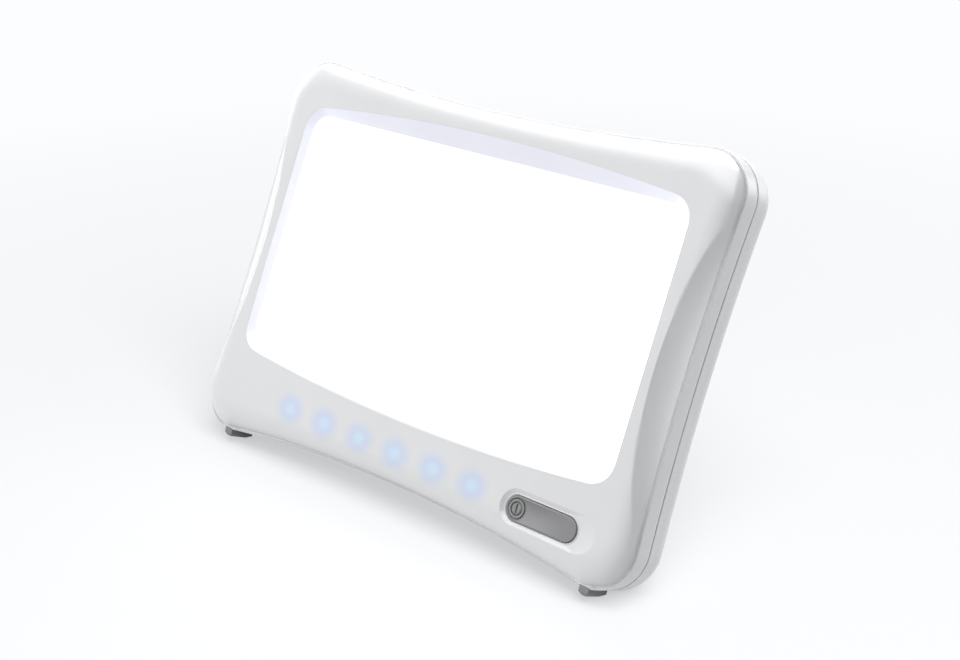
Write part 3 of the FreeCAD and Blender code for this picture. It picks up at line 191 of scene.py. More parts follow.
def addNode(tree, kind, **settings):
    node = tree.nodes.new(kind)
    for key, value in settings.items():
        if key in node.inputs:
            node.inputs[key].default_value = value
        else:
            setattr(node, key, value)
    return node


def maths(tree, operation, *values):
    node = addNode(tree, "ShaderNodeMath", operation=operation)
    for socket, value in zip(node.inputs, values):
        if isinstance(value, (int, float)):
            socket.default_value = value
        else:
            tree.links.new(value, socket)
    return node.outputs[0]


def noise(tree, scale, detail=3.0, rough=0.5):
    place = addNode(tree, "ShaderNodeTexCoord")
    texture = addNode(tree, "ShaderNodeTexNoise", Scale=scale, Detail=detail, Roughness=rough)
    tree.links.new(place.outputs["Object"], texture.inputs["Vector"])
    return texture.outputs["Fac"]


def remap(tree, value, low, high, fromLow=0.3, fromHigh=0.7, smooth=False):
    node = addNode(tree, "ShaderNodeMapRange", interpolation_type="SMOOTHSTEP" if smooth else "LINEAR")
    node.inputs["From Min"].default_value = fromLow
    node.inputs["From Max"].default_value = fromHigh
    node.inputs["To Min"].default_value = low
    node.inputs["To Max"].default_value = high
    tree.links.new(value, node.inputs["Value"])
    return node.outputs["Result"]


def blendColour(tree, factor, first, second):
    node = addNode(tree, "ShaderNodeMix", data_type="RGBA")
    colours = [socket for socket in node.inputs if socket.type == "RGBA"]
    tree.links.new(factor, node.inputs["Factor"])
    for socket, colour in zip(colours, (first, second)):
        if isinstance(colour, tuple):
            socket.default_value = (*colour, 1.0)
        else:
            tree.links.new(colour, socket)
    return next(socket for socket in node.outputs if socket.type == "RGBA")


def bumpFrom(tree, shader, height, strength, distance):
    bump = addNode(tree, "ShaderNodeBump", Strength=strength, Distance=distance)
    tree.links.new(height, bump.inputs["Height"])
    tree.links.new(bump.outputs["Normal"], shader.inputs["Normal"])


def grainedFinish(name, colour, vary, roughness, grain, strength, metallic=0.0):
    # colour drift, a polished or spark-eroded grain and roughness that follows the grain
    material, tree, shader = nodeTree(name)
    drift = remap(tree, noise(tree, surface["driftScale"], surface["detail"]), 0, 1)
    dark = tuple(c * (1 - vary) for c in colour)
    light = tuple(min(1.0, c * (1 + vary)) for c in colour)
    tree.links.new(blendColour(tree, drift, dark, light), shader.inputs["Base Color"])
    fine = noise(tree, grain, surface["detail"], surface["grainRough"])
    tree.links.new(remap(tree, fine, *roughness), shader.inputs["Roughness"])
    bumpFrom(tree, shader, fine, strength, surface["grainHeight"])
    shader.inputs["Metallic"].default_value = metallic
    return material


def addGlow(material, colour, strength):
    shader = material.node_tree.nodes["Principled BSDF"]
    shader.inputs["Emission Color"].default_value = (*colour, 1)
    shader.inputs["Emission Strength"].default_value = strength


print("tools ready")

# Camera, turned and shifted in the head's own axes
viewCamera = {
    "lens": 59.74,
    "sensor": 36.0,
    "clipStart": 0.01,
    "right": (0.7504, 0.2856, -0.5961),
    "down": (0.2558, -0.957, -0.1364),
    "forward": (-0.6094, -0.0501, -0.7913),
    "shift": (-0.01365, -0.02007, 0.63253),  # where the window's middle lies before the camera, metres
}
cameraData = bpy.data.cameras.new("camera")
camera = bpy.data.objects.new("camera", cameraData)
bpy.context.scene.collection.objects.link(camera)
bpy.context.scene.camera = camera
turn = np.array([viewCamera["right"], viewCamera["down"], viewCamera["forward"]])
eye = headCentre + (-turn.T @ np.array(viewCamera["shift"])) @ headAxes
cameraPlace = Matrix.Identity(4)
for column, row in enumerate((turn[0], -turn[1], -turn[2])):
    for line, value in enumerate(row @ headAxes):
        cameraPlace[line][column] = value
for line in range(3):
    cameraPlace[line][3] = eye[line]
camera.matrix_world = cameraPlace
cameraData.lens = viewCamera["lens"]
cameraData.sensor_width = viewCamera["sensor"]
cameraData.clip_start = viewCamera["clipStart"]
print("camera placed")

# Floor, surroundings and lamps
studio = {
    "floorSize": 6.0,
    "floorColour": (0.32, 0.32, 0.322),  # what the lamp's body gets back from the floor
    "floorGlow": 0.54,  # share of the floor's white that doesn't depend on the lamps
    "floorShade": 0.25,
    "floorFade": (0.22, 0.65),  # from here to here the floor turns plain white
    "white": (0.975, 0.982, 1.0),
    "roomLight": 0.47,
    "roomColour": (0.97, 0.985, 1.0),
}
lamps = {
    # name: place, aim, roll in degrees, size, watts, what it gives, what it lights
    "overheadSoftbox": ((-0.05, 0.60, 1.08), (0.0, 0.0, 0.08), 0.0, (1.1, 0.8), 10.5, "both", "object"),
    "frontSoftbox": ((-1.75, -1.55, 1.1), (0.0, 0.0, 0.08), 0.0, (1.8, 1.8), 39.0, "light", "object"),
    "backSoftbox": ((0.75, 1.4, 0.3), (0.0, 0.0, 0.08), 0.0, (1.0, 0.6), 4.0, "both", "object"),
    "ceilingPanel": ((-0.17, 0.37, 1.16), (-0.17, 0.37, 0.0), 12.0, (1.9, 2.9), 90.0, "gloss", "object"),
    "leftPanel": ((-1.5, 0.2, 0.42), (0.0, 0.1, 0.1), 0.0, (1.5, 0.8), 10.0, "gloss", "object"),
    "floorLamp": ((1.17, -0.6, 2.13), (0.0, 0.0, 0.0), 0.0, (2.2, 2.2), 114.0, "light", "floor"),
}
seenKinds = ("Is Camera Ray", "Is Glossy Ray", "Is Transmission Ray")


def isSeen(tree):
    # 1 for rays that show the background itself, 0 for those that only carry its light
    path = addNode(tree, "ShaderNodeLightPath")
    result = path.outputs[seenKinds[0]]
    for kind in seenKinds[1:]:
        result = maths(tree, "MAXIMUM", result, path.outputs[kind])
    return result


def mixShaders(tree, factor, first, second):
    mix = addNode(tree, "ShaderNodeMixShader")
    tree.links.new(factor, mix.inputs["Fac"])
    tree.links.new(first.outputs[0], mix.inputs[1])
    tree.links.new(second.outputs[0], mix.inputs[2])
    return mix


def coloured(tree, kind, colour, **settings):
    node = addNode(tree, kind, **settings)
    node.inputs["Color"].default_value = (*colour, 1)
    return node


def makeWorld():
    world = bpy.data.worlds.new("studio")
    bpy.context.scene.world = world
    world.use_nodes = True
    tree = world.node_tree
    tree.nodes.clear()
    light = coloured(tree, "ShaderNodeBackground", studio["roomColour"], Strength=studio["roomLight"])
    seen = coloured(tree, "ShaderNodeBackground", studio["white"], Strength=1.0)
    output = addNode(tree, "ShaderNodeOutputWorld")
    mix = mixShaders(tree, isSeen(tree), light, seen)
    tree.links.new(mix.outputs[0], output.inputs["Surface"])


def makeFloor():
    material = bpy.data.materials.new("studioFloor")
    material.use_nodes = True
    tree = material.node_tree
    tree.nodes.clear()
    plain = coloured(tree, "ShaderNodeBsdfDiffuse", studio["floorColour"])
    shade = coloured(tree, "ShaderNodeBsdfDiffuse", [studio["floorShade"]] * 3)
    glow = coloured(tree, "ShaderNodeEmission", studio["white"], Strength=studio["floorGlow"])
    white = coloured(tree, "ShaderNodeEmission", studio["white"], Strength=1.0)
    both = addNode(tree, "ShaderNodeAddShader")
    tree.links.new(shade.outputs[0], both.inputs[0])
    tree.links.new(glow.outputs[0], both.inputs[1])
    place = addNode(tree, "ShaderNodeTexCoord")
    length = addNode(tree, "ShaderNodeVectorMath", operation="LENGTH")
    tree.links.new(place.outputs["Object"], length.inputs[0])
    far = remap(tree, length.outputs["Value"], 0.0, 1.0, *studio["floorFade"])
    output = addNode(tree, "ShaderNodeOutputMaterial")
    mix = mixShaders(tree, isSeen(tree), plain, mixShaders(tree, far, both, white))
    tree.links.new(mix.outputs[0], output.inputs["Surface"])
    half = studio["floorSize"] / 2
    corners = [(-half, -half, 0), (half, -half, 0), (half, half, 0), (-half, half, 0)]
    floor = newPiece("studioFloor", corners, [(0, 1, 2, 3)], [material], smooth=False)
    return floor


def makeLamps(floor):
    exceptFloor = bpy.data.collections.new("exceptFloor")
    exceptFloor.objects.link(floor)
    exceptFloor.collection_objects[0].light_linking.link_state = "EXCLUDE"
    onlyFloor = bpy.data.collections.new("onlyFloor")
    onlyFloor.objects.link(floor)
    for name, (place, aim, roll, size, watts, gives, lights) in lamps.items():
        data = bpy.data.lights.new(name, "AREA")
        data.shape = "RECTANGLE"
        data.size, data.size_y = size
        data.energy = watts
        lamp = bpy.data.objects.new(name, data)
        bpy.context.scene.collection.objects.link(lamp)
        lamp.location = place
        facing = (Vector(aim) - Vector(place)).to_track_quat("-Z", "Y")
        lamp.rotation_euler = (facing @ Quaternion((0, 0, 1), math.radians(roll))).to_euler()
        lamp.visible_diffuse = gives != "gloss"
        lamp.visible_glossy = gives != "light"
        lamp.visible_camera = False
        lamp.light_linking.receiver_collection = onlyFloor if lights == "floor" else exceptFloor


bpy.context.scene.view_settings.view_transform = "Standard"
makeWorld()
makeLamps(makeFloor())
print("studio lit")

# Front shell: a pillow-shaped frame with side scallops, a bevelled window and the button's scoop.
# Insets run inward from the outline, levels out of the face.
shell = {
    # colour, colour drift, roughness, grain and the grain's strength
    "finish": ((0.80, 0.80, 0.805), 0.015, (0.2, 0.26), 2600.0, 0.05),
    "halfWidth": 117.0,
    "top": 75.2,
    "bottom": -91.8,
    "corner": 18.0,
    "cornerEase": 5.0,  # how much rounder the corners get where the pinches have gone
    "pinches": (2.0, 5.2, 6.6),  # how far the sides, the top and the bottom bow inward
    "ledge": (1.0, 5.5),  # width, depth below the face
    "pillow": 9.0,
    "fullness": (2.4, 2.4, 2.4, 2.0, 2.2),  # 2 makes the pillow's rounding an ellipse, more makes it squarer
    "settle": 0.5,  # share of the pinches that is gone where the pillow reaches the face
    "seam": -13.5,
    "seamLine": 0.42,  # height of the shadow line where the two shells meet
    "seamInsets": (2.4, 1.8),
    "seamStep": ((1.75, -0.05), (1.7, 0.0), (0.7, 0.0), (0.2, 0.0), (0.06, 0.05), (0.0, 0.18)),
    "wallHeights": (2.0, 4.5, 6.5),  # rings up the outer wall, above the seam
    "edgeRound": (0.3, 0.3, 0.3, 0.1, 0.2),
    "edgeSteps": 4,
    "inside": ((14, -4.0, 0.5), (11, -5.2, 0.5), (4.2, -8.2, 0.1), (2.4, -9.5, 0.0)),  # inset, level, settle
    "sideSteps": 150,
    "topSteps": 90,
    "bottomSteps": (90, 116),  # left of the button, and over it
    "bottomSplit": 0.5,
    "cornerSteps": (36, 22, 22, 22),
    "pillowRings": 32,
    "faceRings": 56,
}
groove = {
    # (inset, level) round the pillow, at the right, top, left, bottom and lower right corner
    "sections": (
        ((0.4, -5.7), (0.55, -6.3), (0.8, -6.65), (1.1, -6.65), (1.35, -6.3), (1.48, -5.75)),
        ((0.4, -5.55), (0.5, -5.68), (0.62, -5.75), (0.78, -5.74), (0.9, -5.66), (0.98, -5.55)),
        ((0.4, -5.5), (0.5, -5.52), (0.62, -5.53), (0.78, -5.53), (0.9, -5.52), (0.98, -5.5)),
        ((0.12, -5.75), (0.17, -6.3), (0.35, -6.65), (0.65, -6.65), (0.87, -6.3), (1.0, -5.75)),
        ((0.25, -5.75), (0.35, -6.8), (0.65, -7.6), (1.5, -7.6), (1.85, -6.8), (2.0, -5.75)),
    ),
    "pillowStart": (1.5, 1.02, 1.02, 1.02, 2.03),  # just inside the groove
    "facing": ((1, 0), (0, 1), (-1, 0), (0, -1), (0.707, -0.707)),
    "hold": ((0.3, 1.0), (0.3, 1.0), (0.3, 1.0), (0.3, 1.0), (0.72, 6.0)),  # where each starts, how strongly
    "full": 0.95,  # where each is at its strongest
    "overFeet": (95.8, 102.2, -5.93),  # where the feet stand, across, and its lowest level there
}
footNotch = {
    "half": 2.5,
    "reach": (-96.3, -91.3),  # lowest and highest point
    "levels": (-14.5, -5.2),
    "ease": 0.1,
}
scallop = {
    "crease": (288.46, -7.75, 184.36),  # circle of its crease on the face: middle across and up, radius
    "foot": (1170.56, -8.3, 1056.86),  # the same for its lower edge
    "width": 11.6,
    "thinnest": 0.05,
    "hollow": 1.25,
    "soft": 0.12,
}
window = {
    # the bevel's lavender tint and its faint glow are painted light from the diffuser; the plastic itself is
    # white
    "finish": ((0.81, 0.813, 0.89), 0.015, (0.5, 0.56), 2600.0, 0.05),
    "glow": 0.05,
    "glowColour": (0.90, 0.93, 1.0),
    "face": (100.0, 54.9, 10.0, 4.9),  # half width, half height, corner, outward bow of the long sides
    "inner": (98.0, 51.5, 8.0),
    "depth": 3.5,
    "round": 0.22,
    "roundSteps": 6,
    "bevelRun": 4.0,
    "bevelShares": (0.04, 0.3, 0.6, 0.9),
    "bevelFoot": ((0.97, 0.1), (1.0, -0.18), (1.0, -0.5)),  # share of the way in, height above the diffuser
}


def sideSpread():
    # how the points lie along the right, top, left and bottom sides, from -1 to 1
    side = np.linspace(-1, 1, shell["sideSteps"])
    top = np.linspace(-1, 1, shell["topSteps"])
    split = shell["bottomSplit"]
    plain, fine = shell["bottomSteps"]
    bottom = np.concatenate([np.linspace(-1, split, plain, endpoint=False), np.linspace(split, 1, fine)])
    return [side, top, side, bottom]


def loopPoints(right, top, bottom, radius, pinches, spread):
    # four sides that bow by their pinch and run smoothly into four round corners
    across, upper, lower = right - radius, top - radius, bottom + radius
    middle = (upper + lower) / 2
    corners = np.array([(across, lower), (across, upper), (-across, upper), (-across, lower)])
    reach = np.array([(right, middle), (0, top), (-right, middle), (0, bottom)])
    halves = [(upper - lower) / 2, across, (upper - lower) / 2, across]
    amounts = [pinches[0], pinches[1], pinches[0], pinches[2]]
    turns = []
    points = []
    for side in range(4):
        outward = np.array([(1, 0), (0, 1), (-1, 0), (0, -1)][side], float)
        along = np.array((-outward[1], outward[0]))
        half, pinch = halves[side], amounts[side]
        share = spread[side][:, None]
        if abs(pinch) > tiny:
            bow = (half**2 + (radius - pinch) ** 2 - radius**2) / (2 * pinch)
            reachAngle = math.asin(half / (bow + radius))
            far = reach[side] - outward * pinch + outward * bow
            arc = far - outward * bow * np.cos(share * reachAngle) + along * bow * np.sin(share * reachAngle)
        else:
            reachAngle = 0.0
            arc = reach[side] + along * half * share
        turns.append(reachAngle)
        points.append(arc)
    result = []
    for side in range(4):
        after = (side + 1) % 4
        start = side * math.pi / 2 - turns[side]
        end = (side + 1) * math.pi / 2 + turns[after]
        steps = shell["cornerSteps"][after]
        angles = np.linspace(start, end, steps + 2)[1:-1, None]
        bend = corners[after] + radius * np.hstack([np.cos(angles), np.sin(angles)])
        result += [points[side], bend]
    return np.vstack(result)


def outline(inset, settle, spread):
    side, top, bottom = shell["pinches"]
    return loopPoints(
        shell["halfWidth"] - inset - settle * side,
        shell["top"] - inset - settle * top,
        shell["bottom"] + inset + settle * bottom,
        shell["corner"] - inset + settle * shell["cornerEase"],
        [pinch * (1 - settle) for pinch in shell["pinches"]],
        spread,
    )


def atLevel(flat, level):
    return np.column_stack([flat, np.full(len(flat), level)])


def softMin(a, b, soft):
    overlap = np.maximum(soft - np.abs(a - b), 0) / soft
    return np.minimum(a, b) - overlap**2 * soft / 4


def scallopLevel(x, y):
    # height of the side hollow's surface: nearly straight from the crease on the face to its foot
    x = np.abs(x)
    centreX, centreY, bend = scallop["crease"]
    crease = centreX - np.sqrt(np.maximum(bend**2 - (y - centreY) ** 2, 1.0))
    footX, footY, footBend = scallop["foot"]
    foot = footX - np.sqrt(footBend**2 - (y - footY) ** 2)
    width = np.maximum(foot - crease, scallop["thinnest"])
    share = (x - crease) / width
    hollow = scallop["hollow"] * np.clip(width / scallop["width"], 0, 1)
    level = -shell["ledge"][1] * share - hollow * 4 * share * (1 - share) * (share > 0) * (share < 1)
    return np.maximum(level, -shell["ledge"][1])


def grooveShares(spread):
    # how much each point of the outline belongs to each stretch of the groove
    outward = outline(0.0, 0.0, spread) - outline(1.0, 0.0, spread)
    outward /= np.linalg.norm(outward, axis=1)[:, None]
    begins, strength = np.array(groove["hold"]).T
    facing = outward @ np.array(groove["facing"]).T
    shares = np.clip((facing - begins) / (groove["full"] - begins), 0, 1)
    shares = shares**2 * (3 - 2 * shares) * strength
    return shares / shares.sum(axis=1)[:, None]


def windowRings(start, spread):
    # the flat face from the pillow to the window, the window's rounded lip and its bevel
    halfWidth, halfHeight, corner, bulge = window["face"]
    faceLoop = loopPoints(halfWidth, halfHeight, -halfHeight, corner, (0, -bulge, -bulge), spread)
    halfWidth, halfHeight, corner = window["inner"]
    innerLoop = loopPoints(halfWidth, halfHeight, -halfHeight, corner, (0, 0, 0), spread)
    away = start - faceLoop
    away /= np.maximum(np.linalg.norm(away, axis=1)[:, None], tiny)
    reach = np.minimum(window["round"], np.linalg.norm(start - faceLoop, axis=1)[:, None] * 0.5)
    lip = faceLoop + away * reach
    rings = []
    for step in range(1, shell["faceRings"] + 1):
        share = step / shell["faceRings"]
        rings.append((atLevel(start + (lip - start) * share, 0.0), "face"))
    top = atLevel(lip, 0.0)
    faceEdge = atLevel(faceLoop, 0.0)
    bevelFoot = atLevel(innerLoop, -window["depth"])
    low = faceEdge + (bevelFoot - faceEdge) * window["round"] / window["bevelRun"]
    for step in range(1, window["roundSteps"] + 1):
        share = step / window["roundSteps"]
        ring = (1 - share) ** 2 * top + 2 * share * (1 - share) * faceEdge + share**2 * low
        rings.append((ring, "bevel" if share == 1 else "lip"))
    for share in window["bevelShares"]:
        rings.append((low + (bevelFoot - low) * share, "bevel"))
    for share, height in window["bevelFoot"]:
        ring = low + (bevelFoot - low) * share
        ring[:, 2] = height - window["depth"]
        rings.append((ring, "bevel"))
    return rings


def frontShell():
    # one closed skin of rings: seam, outer wall, groove, pillow, face, window and inside
    spread = sideSpread()
    shares = grooveShares(spread)
    ledgeWidth, ledgeDepth = shell["ledge"]
    rings = []

    def add(inset, level, settle=0.0, kind="band"):
        rings.append((atLevel(outline(inset, settle, spread), level), kind))

    def addMixed(places, settle=0.0, kind="groove"):
        # a ring whose inset and level differ from one stretch of the groove to the next
        mixed = 0
        for share, (inset, level) in zip(shares.T, places):
            mixed = mixed + atLevel(outline(inset, settle, spread), level) * share[:, None]
        rings.append((mixed, kind))

    line = shell["seam"] + shell["seamLine"]
    for inset in shell["seamInsets"]:
        add(inset, shell["seam"])
    for inset, height in shell["seamStep"]:
        add(inset, line + height)
    for height in shell["wallHeights"]:
        add(0.0, shell["seam"] + height)
    for step in range(shell["edgeSteps"] + 1):
        angle = math.radians(90 * step / shell["edgeSteps"])
        fall = 1 - math.sin(angle)
        addMixed([(edge * (1 - math.cos(angle)), -ledgeDepth - edge * fall) for edge in shell["edgeRound"]])
    for places in zip(*groove["sections"]):
        addMixed(places)
    steps = shell["pillowRings"]
    for step in range(1, steps + 1):
        angle = math.radians(90 * step / steps)
        places = []
        for first, fullness in zip(groove["pillowStart"], shell["fullness"]):
            inward = 1 - max(math.cos(angle), 0) ** (2 / fullness)
            level = -ledgeDepth * (1 - math.sin(angle) ** (2 / fullness))
            places.append((first + (ledgeWidth + shell["pillow"] - first) * inward, level))
        addMixed(places, shell["settle"] * step / steps, "face")
    rings += windowRings(rings[-1][0][:, :2], spread)
    for inset, level, settle in shell["inside"]:
        add(inset, level, settle, "inside")

    # the scallops lower the pillow and the face, and the groove stays clear of the feet
    near, far, lowest = groove["overFeet"]
    for ring, kind in rings:
        x, y, z = ring.T
        if kind == "face":
            ring[:, 2] = softMin(z, scallopLevel(x, y), scallop["soft"])
        if kind == "groove":
            overFoot = (np.abs(x) > near) & (np.abs(x) < far) & (y < 0)
            ring[overFoot, 2] = np.maximum(z[overFoot], lowest)
    points = np.vstack([ring for ring, kind in rings])
    count = len(rings[0][0])
    faces = ringFaces(len(rings), count, closed=True)
    piece = newPiece("frontShell", toTable(points), faces, [shellWhite, bevelWhite])
    slots = np.zeros(len(faces), int)
    for index, (ring, kind) in enumerate(rings):
        if kind == "bevel":
            slots[index * count:(index + 1) * count] = 1
    piece.data.polygons.foreach_set("material_index", slots)
    print("front shell rings", len(rings), "points", len(points))
    return piece


# Button's hole, scoop and lip
pill = {
    "left": 63.8,  # middles of the two round ends
    "right": 87.3,
    "y": -73.75,
    "radius": 4.95,
    "endSteps": 40,
    "gap": 0.22,
    "scoopDepth": 1.2,
    "scoopMargin": 2.4,
    "scoopRun": 5.6,  # how much further the scoop goes at its right end
    "scoopFloor": 0.8,
    # the scoop's section: (share of the way in, level) at its rim, shares down its slope, and its foot
    # as (share, height above its floor)
    "scoopRim": ((-0.13, 1.0), (-0.12, 0.03), (-0.07, -0.01), (-0.02, -0.05), (0.03, -0.12)),
    "scoopSlope": (0.3, 0.6, 0.88),
    "scoopFoot": ((0.96, 0.05), (1.0, 0.01), (1.1, 0.0)),
    "holeLevels": (-12.0, 2.0),
    "holeRim": ((0.0, -0.14), (0.02, -0.07), (0.07, -0.02), (0.14, 0.01)),  # outward, above the scoop's floor
    "holeTop": 0.16,
    # section of the raised lip round the button, outward and up
    "lip": (
        (0.0, -0.3), (0.0, 0.12), (0.06, 0.22), (0.18, 0.28),
        (0.32, 0.28), (0.46, 0.2), (0.58, 0.02), (0.62, -0.3),
    ),
}


def pillRing(grow, level, run=0.0):
    # points of a pill-shaped outline: the button's grown by that much, its right end further by the run
    angles = np.linspace(-90, 90, pill["endSteps"])
    radius = pill["radius"] + grow
    points = []
    for turnBy, x in ((0, pill["right"] + run), (180, pill["left"])):
        for angle in np.radians(angles + turnBy):
            points.append((x + radius * math.cos(angle), pill["y"] + radius * math.sin(angle), level))
    return np.array(points)


def scoopCutter():
    # a small round at the rim, a straight slope and a flat floor
    section = list(pill["scoopRim"])
    firstShare, firstLevel = section[-1]
    fall = pill["scoopDepth"] + firstLevel
    for share in pill["scoopSlope"]:
        section.append((share, firstLevel - fall * (share - firstShare) / (1 - firstShare)))
    for share, height in pill["scoopFoot"]:
        section.append((share, height - pill["scoopDepth"]))
    outlines = []
    for share, level in reversed(section):
        grow = pill["scoopMargin"] + (pill["scoopFloor"] - pill["scoopMargin"]) * share
        outlines.append(pillRing(grow, level, pill["scoopRun"] * (1 - share)))
    return closedLoft("scoopCutter", outlines, [])


def holeCutter():
    low, high = pill["holeLevels"]
    rings = [pillRing(pill["gap"], low)]
    for grow, height in pill["holeRim"]:
        rings.append(pillRing(pill["gap"] + grow, height - pill["scoopDepth"]))
    rings.append(pillRing(pill["gap"] + pill["holeTop"], high))
    return closedLoft("holeCutter", rings, [])


def buttonRim():
    rim = []
    for grow, height in pill["lip"]:
        rim.append(pillRing(pill["gap"] + grow, height - pill["scoopDepth"]))
    faces = ringFaces(len(rim), len(rim[0]), closed=True)
    return newPiece("buttonRim", toTable(np.vstack(rim)), faces, [shellWhite])


# Indicator lights: their glow through the shell is painted light, a blue colour and a faint emission painted
# on the front shell's material round each spot
indicators = {
    "count": 6,
    "first": -61.2,
    "pitch": 20.5,
    "y": -72.3,
    "core": (0.9, 4.2),  # where it starts to fade and where it ends
    "halo": (1.6, 8.8),
    "stretch": 1.22,  # how much wider than tall each spot is
    # painted light: the shell's colour turns blue in the halo and the core of each spot
    "paintedHaloColour": (0.617, 0.68, 0.828),
    "paintedCoreColour": (0.65, 0.765, 0.88),
    "glow": 0.075,
    "glowColour": (0.35, 0.60, 1.0),
}


def indicatorAway(tree):
    # distance to the middle of the nearest spot, in metres
    place = addNode(tree, "ShaderNodeTexCoord")
    split = addNode(tree, "ShaderNodeSeparateXYZ")
    tree.links.new(place.outputs["Object"], split.inputs[0])
    pitch = indicators["pitch"] * mm
    start = maths(tree, "SUBTRACT", split.outputs["X"], indicators["first"] * mm)
    steps = maths(tree, "DIVIDE", start, pitch)
    notBefore = maths(tree, "MAXIMUM", maths(tree, "ROUND", steps), 0.0)
    nearest = maths(tree, "MINIMUM", notBefore, indicators["count"] - 1.0)
    beside = maths(tree, "SUBTRACT", steps, nearest)
    across = maths(tree, "MULTIPLY", beside, pitch / indicators["stretch"])
    dot = addNode(tree, "ShaderNodeVectorMath", operation="DOT_PRODUCT")
    dot.inputs[1].default_value = tuple(headAxes[1])
    tree.links.new(place.outputs["Object"], dot.inputs[0])
    row = float(headCentre @ headAxes[1]) + indicators["y"] * mm
    up = maths(tree, "SUBTRACT", dot.outputs["Value"], row)
    squares = [maths(tree, "MULTIPLY", part, part) for part in (across, up)]
    return maths(tree, "SQRT", maths(tree, "ADD", *squares))


def shellMaterial():
    material = grainedFinish("shellWhite", *shell["finish"])
    tree = material.node_tree
    shader = tree.nodes["Principled BSDF"]
    # painted light: round each indicator the shell's colour is blended to blue and the shell glows
    away = indicatorAway(tree)
    reach = {}
    for part in ("halo", "core"):
        low, high = indicators[part]
        reach[part] = remap(tree, away, 1.0, 0.0, low * mm, high * mm, smooth=True)
    plain = shader.inputs["Base Color"].links[0].from_socket
    paintedHalo = blendColour(tree, reach["halo"], plain, indicators["paintedHaloColour"])
    lit = blendColour(tree, reach["core"], paintedHalo, indicators["paintedCoreColour"])
    tree.links.new(lit, shader.inputs["Base Color"])
    glow = blendColour(tree, reach["halo"], (0.0, 0.0, 0.0), indicators["glowColour"])
    tree.links.new(glow, shader.inputs["Emission Color"])
    shader.inputs["Emission Strength"].default_value = indicators["glow"]
    return material


shellWhite = shellMaterial()
# painted light: the bevel's lavender colour and its glow stand in for the diffuser's light on white plastic
bevelWhite = grainedFinish("bevelWhite", *window["finish"])
addGlow(bevelWhite, window["glowColour"], window["glow"])
print("shell materials made")
front = frontShell()
carve(front, scoopCutter())
footX = shell["halfWidth"] - shell["corner"]
for x in (-footX, footX):
    lowest, highest = footNotch["reach"]
    back, face = footNotch["levels"]
    low = (x - footNotch["half"], lowest, back)
    high = (x + footNotch["half"], highest, face)
    carve(front, boxCutter("notchCutter", low, high, footNotch["ease"]))
carve(front, holeCutter())
settleOn(front, "head", "white_shell", "front_cover")
settleOn(buttonRim(), "head", "white_shell", "front_cover")
print("front shell done")

# Rear shell, stand, feet, inlet and screws: CAD shapes with eased edges
caseFinishes = {
    # material: colour, colour drift, roughness, grain, its strength, metallic
    # rearWhite is the front shell's plastic set lighter (0.83 against 0.80): painted light on the rear shell
    # and stand
    "rearWhite": ((0.83, 0.83, 0.835), 0.015, (0.25, 0.36), 1500.0, 0.18, 0.0),
    "rubberGrey": ((0.23, 0.232, 0.235), 0.06, (0.55, 0.75), 1800.0, 0.25, 0.0),
    "inletBlack": ((0.03, 0.03, 0.032), 0.05, (0.35, 0.5), 2600.0, 0.12, 0.0),
    "steelGrey": ((0.52, 0.52, 0.53), 0.05, (0.24, 0.4), 900.0, 0.1, 1.0),
}
easedPieces = {
    # name: CAD node, width of the easing, its steps, material, body, slot
    "rearShell": ("rear_cover", 0.4, 2, "rearWhite", "head", "white_shell"),
    "standBlade": ("rear_stand", 0.5, 3, "rearWhite", "stand", "white_shell"),
    "standGrip": ("stand_pad", 0.3, 2, "rubberGrey", "stand", "grey_rubber"),
    "footLeft": ("foot_left", 0.25, 2, "rubberGrey", "head", "grey_rubber"),
    "footRight": ("foot_right", 0.25, 2, "rubberGrey", "head", "grey_rubber"),
    "inletBody": ("dc_jack", 0.15, 2, "inletBlack", "head", "black_plastic"),
    "caseScrews": ("cover_screws", 0.12, 2, "steelGrey", "head", "steel"),
}
caseMaterials = {name: grainedFinish(name, *values) for name, values in caseFinishes.items()}
for name, (node, width, segments, finish, body, slot) in easedPieces.items():
    settleOn(softened(node, name, width, segments, caseMaterials[finish]), body, slot, node)
print("rear shell, stand, feet, inlet and screws done")

# Button cap with its symbol: a raised ring between two grooves, and a bar cut as a slot
cap = {
    "finish": ((0.238, 0.238, 0.241), 0.03, (0.62, 0.72), 1700.0, 0.2),
    "bottom": -4.2,
    "top": -0.25,
    "edge": 0.4,
    "edgeSteps": 8,
    "dish": 0.03,
    "topSteps": 10,
    "topReach": 0.98,
    "symbol": (64.25, -73.75),
    "ring": 3.65,
    "ringSteps": 72,
    "line": 0.95,
    "rise": 0.12,
    "ease": 0.14,
    "easeBend": 0.3,
    "bar": (0.85, 3.5),
    "barEase": 0.1,
    "moat": 0.5,  # width of the grooves beside the ring
    "moatDepth": 0.9,
    "clear": 2.0,  # how high the cutters reach
    "overlap": 0.02,
}
capGrey = grainedFinish("capGrey", *cap["finish"])


def buttonCap():
    edge = cap["edge"]
    rings = [pillRing(0.0, cap["bottom"]), pillRing(0.0, cap["top"] - edge)]
    for step in range(1, cap["edgeSteps"] + 1):
        angle = math.radians(90 * step / cap["edgeSteps"])
        rings.append(pillRing(-edge * (1 - math.cos(angle)), cap["top"] - edge * (1 - math.sin(angle))))
    reach = (pill["radius"] - edge) * cap["topReach"]
    for step in range(1, cap["topSteps"]):
        share = step / cap["topSteps"]
        level = cap["top"] - cap["dish"] * math.sin(math.pi / 2 * share) ** 2
        rings.append(pillRing(-edge - reach * share, level))
    return closedLoft("buttonCap", rings, [capGrey])


def symbolProfile(outer, inner, low, high):
    # a low ring's section with two rounded upper corners
    ease = cap["ease"]
    bend = ease * cap["easeBend"]
    return [
        (outer, low), (outer, high - ease), (outer - bend, high - bend), (outer - ease, high),
        (inner + ease, high), (inner + bend, high - bend), (inner, high - ease), (inner, low),
    ]


